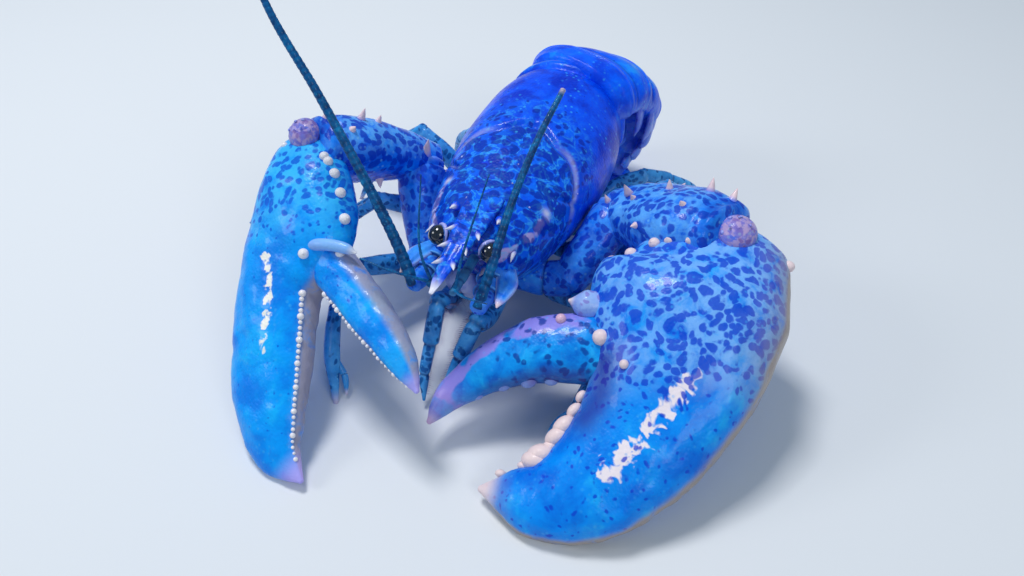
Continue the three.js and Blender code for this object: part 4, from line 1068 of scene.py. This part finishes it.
def cutterFingerMarks(m, d, u, t, a):
    fromInner = turnBetween(a, 0)
    outer = smooth(1.2, 0.7, pi - fromInner)
    inner = smooth(0.75, 0.45, fromInner) * smooth(0.2, 0.3, t)
    return {
        "pale": 0.4 * smooth(0.6, 0.85, t), "spots": 0.3 * smooth(0.7, 0.4, t),
        "rim": 0.85 * outer * smooth(0.08, 0.2, t) + 0.9 * inner, "deep": 0.8 * smooth(0.84, 0.97, t),
    }


clawSkins = {
    "crusherPalm": (crusherPalmMarks, crusherShell),
    "crusherFinger": (crusherFingerMarks, crusherFingerShell),
    "cutterPalm": (cutterPalmMarks, cutterShell), "cutterFinger": (cutterFingerMarks, cutterShell),
}
toothBeads = {"Spacing": 2.15, "Variation": 0.15, "Extra": 0.45, "Seed": 3, "Material": cutterShell}


def clawPiece(name, d, host, axes, seed, replaced):
    marksOf, shell = clawSkins[name]
    skin = Skin()
    t, a, rings = host.grid(*d["grid"])
    marks = marksOf(*axes.local(rings), t, a)
    shape = 0.6 * waves(rings, 24, seed) + 0.25 * waves(rings, 9, seed + 1)
    if "lobe" in d:    # the palm swells on its inner side, behind the moving finger
        inner = hill(turnBetween(a, 0), 0, 0.3)
        shape = shape + 1.1 * inner * smooth(0.02, 0.08, t) * smooth(0.42, 0.34, t)
    skin.tube(raised(rings, shape * smooth(0, 0.06, t) * smooth(1, 0.93, t)), marks, dome=(0.25, 0.6))
    for along, radius in d.get("teeth", ()):
        skin.bead(host.spot(along, *d["toothSeat"]), radius * 1.12, host.outward(along, 0.0), 0.72, 30,
                  {"tip": d["toothTip"]})
    if "toothRow" in d:
        first, last, radius = d["toothRow"]
        places = np.linspace(first, last, 60)
        outs = [unit(host.outward(t, 0.0) + 0.35 * axes.dorsal) for t in places]
        addRow(skin, "bead", [host.spot(t, 0.5, 0.1) for t in places], outs, np.linspace(1, 0.7, 60),
               {"tip": 0.95}, {**toothBeads, "Radius": radius})
    for along, angle, radius in d["beads"]:
        skin.bead(host.spot(along, angle, 0.1), radius, host.outward(along, angle), d["beadTall"], 26,
                  {"tip": 0.9})
    if "lobe" in d:
        lobe = Form([axes.place(*spot) for spot in d["lobe"]], d["lobeSize"], across=axes.distal,
                    facing=axes.dorsal, corner=2)
        t, _, rings = lobe.grid(60, 36)
        skin.tube(rings, {**d["lobeMarks"], "tip": 0.25 + 0.6 * smooth(0.8, 1.0, t)}, dome=(0.3, 0.7))
    skin.build(name, shell, replaced)


for name, claw in claws.items():
    axes = ClawFrame(claw)
    ischiumPiece(name, claw)
    merusPiece(name, claw)
    carpusPiece(name, claw, axes)
    palm, finger = (axes.form(claw[part]["rows"], inner)
                    for part, inner in (("palm", axes.medial), ("finger", axes.distal - axes.medial)))
    clawPiece(name + "Palm", claw["palm"], palm, axes, claw["seed"], [name + "_palm", name + "_fixed_finger"])
    clawPiece(name + "Finger", claw["finger"], finger, axes, claw["seed"], [name + "_finger"])
print("claws")

# Walking legs, each as thigh and shin through hip, lower hip, knee and foot. The first two pairs end in
# small pincers.
legs = {
    left: (((13, 40, 23), (21, 34, 14), (56, 10, 27), (50, -36, 0)),
           ((14, 54, 23), (22, 53, 20), (63, 50, 30), (106, 34, 0)),
           ((14, 67, 23), (23, 69, 22), (58, 80, 46), (98, 92, 0)),
           ((13, 80, 24), (21, 84, 22), (42, 108, 30), (72, 136, 0))),
    right: (((13, 40, 23), (21, 33, 13.5), (50, -10, 36), (38, -48, 0)),
            ((14, 54, 23), (22, 52, 20), (61, 36, 36), (94, 16, 0)),
            ((14, 67, 23), (23, 69, 23), (58, 74, 50), (98, 74, 0)),
            ((13, 80, 24), (21, 84, 22), (44, 108, 31), (72, 134, 0))),
    "thighHalf": ([0, 4.4], [0.33, 3.6], [0.4, 3.9], [0.8, 3.6], [1, 2.8]),
    "thighRise": ([0, 4.6], [0.33, 3.8], [0.4, 4.6], [0.8, 4.4], [1, 3.2]),
    "shinHalf": ([0, 2.8], [0.3, 3.1], [0.34, 2.5], [0.66, 2.5]),
    "shinRise": ([0, 2.9], [0.3, 3.4], [0.34, 2.8]),
    "palmRise": {True: 3.4, False: 2.6}, "endHalf": {True: 1.0, False: 0.8},    # with and without a pincer
    "pincerHalf": ([0, 1.5], [0.6, 1.3], [1, 0.5]), "jointDepth": 0.6,
    "thighGrid": (110, 36), "shinGrid": (110, 32), "pincerGrid": (40, 20),
}


def legPieces(side, i):
    hip, under, knee, foot = (vec(side * x, y, z) for x, y, z in legs[side][i])
    label = sideNames[side] + "_" + str(i + 1)
    pincered = i < 2
    out = unit((knee - under) * vec(1, 1, 0))
    across = vec(-out[1], out[0], 0)

    def along(share, away, up):
        return knee + (foot - knee) * share + out * away + vec(0, 0, up)

    skin = Skin()
    thigh = Form([hip, under, (under + knee) / 2 + vec(0, 0, 2), knee], legs["thighHalf"],
                 legs["thighRise"], across)
    t, _, rings = thigh.grid(*legs["thighGrid"])
    joint = hill(t, 0.33, 0.012) + hill(t, 0.4, 0.01)
    rings = raised(rings, -legs["jointDepth"] * joint + 0.3 * hill(t, 0.97, 0.02)
                   + 0.12 * waves(rings, 7, 60 + i))
    skin.tube(rings, {"pale": 0.25 + 0.4 * hill(t, 0.97, 0.03), "spots": 0.7, "deep": 0.6 * joint})
    skin.build("legThigh_" + label, legShell, ["leg_" + label + "_thigh"])

    skin = Skin()
    end = legs["endHalf"][pincered]
    shin = Form([along(-0.03, 0, 0), along(0.28, 3, 2), along(0.62, 3, 3), along(1, 0, -0.4)],
                (*legs["shinHalf"], [1, end]),
                (*legs["shinRise"], [0.66, legs["palmRise"][pincered]], [1, end]), across)
    t, _, rings = shin.grid(*legs["shinGrid"])
    joint = hill(t, 0.33, 0.014) + (0 if pincered else hill(t, 0.68, 0.012))
    rings = raised(rings, -0.5 * joint + 0.1 * waves(rings, 6, 70 + i))
    skin.tube(rings, {"pale": 0.3, "spots": 0.6, "deep": 0.6 * joint, "tip": 0.6 * smooth(0.9, 1, t)},
              dome=(0.3, 0.6))
    if pincered:
        root, tip = along(0.7, 1, 1), along(1, -5, 2)
        pincer = Form([root, (root + tip) / 2 - out * 1.4, tip], legs["pincerHalf"], across=across)
        t, _, rings = pincer.grid(*legs["pincerGrid"])
        skin.tube(rings, {"pale": 0.4, "tip": 0.7 * smooth(0.8, 1, t)}, dome=(0.3, 0.6))
    skin.build("legShin_" + label, legShell, ["leg_" + label + "_shin"])


for side in (left, right):
    for i in range(4):
        legPieces(side, i)
print("legs")

# The curled tail: six overlapping rings round one centre, with side plates and swimmerets, and the fan.
tail = {
    "turn": 128.0, "middle": 31.0, "rise": 18.0, "drop": 9.0, "halfWidth": 29.0,    # degrees and millimetres
    "centre": (108, 34), "shares": (0.1, 0.2, 0.19, 0.18, 0.165, 0.165), "overlap": 3,
    "widths": ([0, 0.88], [0.15, 1], [0.5, 0.96], [0.8, 0.85], [1, 0.72]),
    "drift": ([0, 1.5], [0.15, 4.5], [0.5, 11], [1, 7]),
    "ringGrid": (56, 150), "plateGrid": (50, 40), "finGrid": (30, 24), "plateLength": 15.0, "lastPlate": 10.0,
    "plateRise": ([0, 1.8], [0.6, 1.4], [1, 0.5]),
    "finHalf": ([0, 2], [0.5, 3.2], [1, 1]), "finRise": ([0, 0.9], [0.6, 0.7], [1, 0.4]),
}
tailDrift, tailWidths = through(*tail["drift"]), through(*tail["widths"])


def curl(angle, radius, x=0.0):
    (y, z), q = tail["centre"], math.radians(angle)
    x += float(tailDrift(angle / tail["turn"]))
    return onBody(x, y + radius * math.sin(q), z + radius * math.cos(q))


def addSidePlate(skin, side, middle, x, reach, length, ahead):
    form = Form([curl(middle, tail["middle"] + 3, 0.9 * x),
                 curl(middle + 1, tail["middle"] - 0.55 * length, 0.97 * x),
                 curl(middle + 5, tail["middle"] - length, 0.92 * x)],
                ([0, 0.24 * reach], [0.5, 0.18 * reach], [0.85, 0.1 * reach], [1, 0.6]), tail["plateRise"],
                across=ahead, facing=(side, 0, 0))
    t, a, rings = form.grid(*tail["plateGrid"])
    edge = np.abs(np.cos(a)) ** 4
    rings = raised(rings, 0.3 * edge * smooth(1, 0.8, t))
    skin.tube(rings, {"pale": 0.85, "cream": 0.3 * edge, "spots": 0.4, "rim": 0.35 * edge}, dome=(0.2, 0.6))


def addSwimmeret(skin, middle, x, ahead):
    under = tail["middle"] - tail["drop"]
    form = Form([curl(middle, under + 2, 0.42 * x), curl(middle + 4, under - 4, 0.5 * x),
                 curl(middle + 10, under - 9, 0.52 * x)], tail["finHalf"], tail["finRise"],
                across=bodyAcross, facing=ahead)
    skin.tube(form.grid(*tail["finGrid"])[2], {"pale": 0.6}, dome=(0.3, 0.6))


def ringPiece(i, start, end, share):
    middle = (start + end) / 2
    facing = curl(middle, 1) - curl(middle, 0)
    ahead = -np.cross(bodyAcross, facing)

    def width(t):
        return tail["halfWidth"] * tailWidths((start + (end - start) * t) / tail["turn"]) * (0.96 + 0.04 * t)

    ring = Form([curl(start + (end - start) * t, tail["middle"]) for t in (0, 0.25, 0.5, 0.75, 1)],
                width, lambda t: tail["rise"] * (0.96 + 0.04 * t), bodyAcross, facing,
                drop=([0, tail["drop"]], [1, tail["drop"]]), corner=2.3)
    t, a, rings = ring.grid(*tail["ringGrid"])
    above = smooth(-0.1, 0.25, np.sin(a))
    lip = smooth(0.86, 0.93, t) * above
    front = hill(t, 0.34, 0.05) * above * (i > 0)
    rings = raised(rings, 0.6 * lip - 0.7 * front + 0.5 * hill(t, 0.62, 0.2) * above
                   + 0.2 * waves(rings, 18, 80 + i))
    skin = Skin()
    skin.tube(rings, {"pale": 0.75 * (1 - above) + 0.45 * lip, "spots": 0.15, "deep": 0.3 * front,
                      "rim": 0.35 * smooth(0.95, 0.99, t) * above}, dome=(0.12, 0.08))
    for side in (left, right):
        x, last = side * float(width(0.5)), len(tail["shares"]) - 1
        if i > 0:
            length = tail["lastPlate"] if i == last else tail["plateLength"]
            addSidePlate(skin, side, middle, x, share * tail["turn"], length, ahead)
        if 0 < i < last:
            addSwimmeret(skin, middle, x, ahead)
    skin.build("tailRing_" + str(i + 1), tailShell, ["tail_ring_" + str(i + 1)])


start = 0.0
for i, share in enumerate(tail["shares"]):
    end = start + share * tail["turn"]
    ringPiece(i, start - (tail["overlap"] if i > 0 else 0), end, share)
    start = end

# The fan's blades: a point beside the fan's root, points behind it with their heights, and sizes.
fanRoot = curl(tail["turn"], tail["middle"] + 4)
fan = {
    "telson": ((0, 2, -1), ((0, -13, 5.2), (0, -26, 2.2), (0, -39, 0.9)), 14.0, 1.9),
    "inner": ((9, 2, -1), ((17, -12, 4.6), (23, -24, 1.9), (27, -36, 0.9)), 11.0, 1.7),
    "outer": ((14, 3, -0.5), ((26, -7, 4.4), (36, -15, 1.8), (45, -24, 0.9)), 11.5, 1.7),
    "outline": ([0, 0.45], [0.25, 0.75], [0.7, 1], [0.93, 0.75], [1, 0.35]), "grid": (80, 70),
    "bristles": {"Spacing": 0.55, "Radius": 0.22, "Length": 3.2, "Variation": 0.4, "Extra": 0.0, "Seed": 8,
                 "Material": tailShell},
}
fanOutline = through(*fan["outline"])


def fanPiece(key, side, nodeName):
    (x, y, z), spots, width, thickness = fan[key]
    points = [fanRoot + vec(side * x, y, z)] + [vec(side * x, fanRoot[1] + y, z) for x, y, z in spots]
    blade = Form(points, lambda t: width * fanOutline(t),
                 ([0, thickness * 1.6], [0.3, thickness], [1, 0.6 * thickness]))
    t, a, rings = blade.grid(*fan["grid"])
    rib = 0.35 * hill(np.cos(a), 0, 0.18) - 0.3 * hill(t, 0.72, 0.02) * (key == "outer")
    rings = raised(rings, rib * smooth(1, 0.85, t) * np.sign(np.sin(a) + 0.3))
    skin = Skin()
    skin.tube(rings, {"pale": 0.3 + 0.5 * smooth(0.7, 1, t), "spots": 0.5, "rim": 0.4 * smooth(0.85, 1, t)},
              dome=(0.3, 0.3))
    edge = [(t, 0.0) for t in np.linspace(0.35, 0.99, 40)] + [(t, pi) for t in np.linspace(0.99, 0.35, 40)]
    rear = unit(points[-1] - points[-2])
    outs = [unit(blade.outward(t, a) + rear * (0.4 + 1.6 * smooth(0.6, 1, t))) for t, a in edge]
    addRow(skin, "bristle", [blade.spot(t, a, -0.1) for t, a in edge], outs, np.ones(len(edge)), {"rim": 0.8},
           fan["bristles"])
    skin.build(nodeName.replace("_", ""), tailShell, [nodeName])


fanPiece("telson", left, "telson")
for side in (left, right):
    for key in ("inner", "outer"):
        fanPiece(key, side, "uropod_" + key + "_" + sideNames[side])
print("tail")

# Plain floor, soft light and camera. Lamps have their place and size in metres, and their power.
view = {
    "camera": (104.1, -207.7, 250.6), "look": (-0.280, 0.676, -0.682), "lens": 28.125, "clipStart": 0.01,
    "lamps": {"key": ((-0.35, 0.15, 1.2), 0.3, 9.5), "fill": ((0.9, -0.7, 0.9), 0.5, 3.6),
              "side": ((-1.0, -0.6, 0.8), 0.4, 3.2)}, "aim": (0, 0, 0.04),
    "world": (0.6, 0.8, 1.0, 1.0), "worldStrength": 0.34,
    "floorSize": 4.0, "floor": "dfe2e6", "floorRough": 0.8,
}


def turnTo(item, direction):
    item.rotation_euler = Vector(direction).to_track_quat("-Z", "Y").to_euler()


def stageAndCamera():
    mesh = bpy.data.meshes.new("floor")
    corners = ((-1, -1, 0), (1, -1, 0), (1, 1, 0), (-1, 1, 0))
    mesh.from_pydata([view["floorSize"] * vec(*corner) for corner in corners], [], [(0, 1, 2, 3)])
    look = {"Base Color": tone(view["floor"]), "Roughness": view["floorRough"]}
    mesh.materials.append(Look("floorPale").finish(look))
    addToScene("floor", mesh)

    world = bpy.data.worlds.new("studio")
    bpy.context.scene.world = world
    world.use_nodes = True
    background = world.node_tree.nodes["Background"].inputs
    background["Color"].default_value = view["world"]
    background["Strength"].default_value = view["worldStrength"]
    for name, (where, size, power) in view["lamps"].items():
        light = bpy.data.lights.new(name, "AREA")
        light.size, light.energy = size, power
        lamp = addToScene(name, light)
        lamp.location = where
        turnTo(lamp, vec(*view["aim"]) - vec(*where))

    lens = bpy.data.cameras.new("camera")
    lens.lens, lens.sensor_width, lens.clip_start = view["lens"], 36.0, view["clipStart"]
    camera = addToScene("camera", lens)
    camera.location = place(vec(*view["camera"]))
    turnTo(camera, view["look"])
    bpy.context.scene.camera = camera
    bpy.context.scene.view_settings.view_transform = "Standard"


stageAndCamera()
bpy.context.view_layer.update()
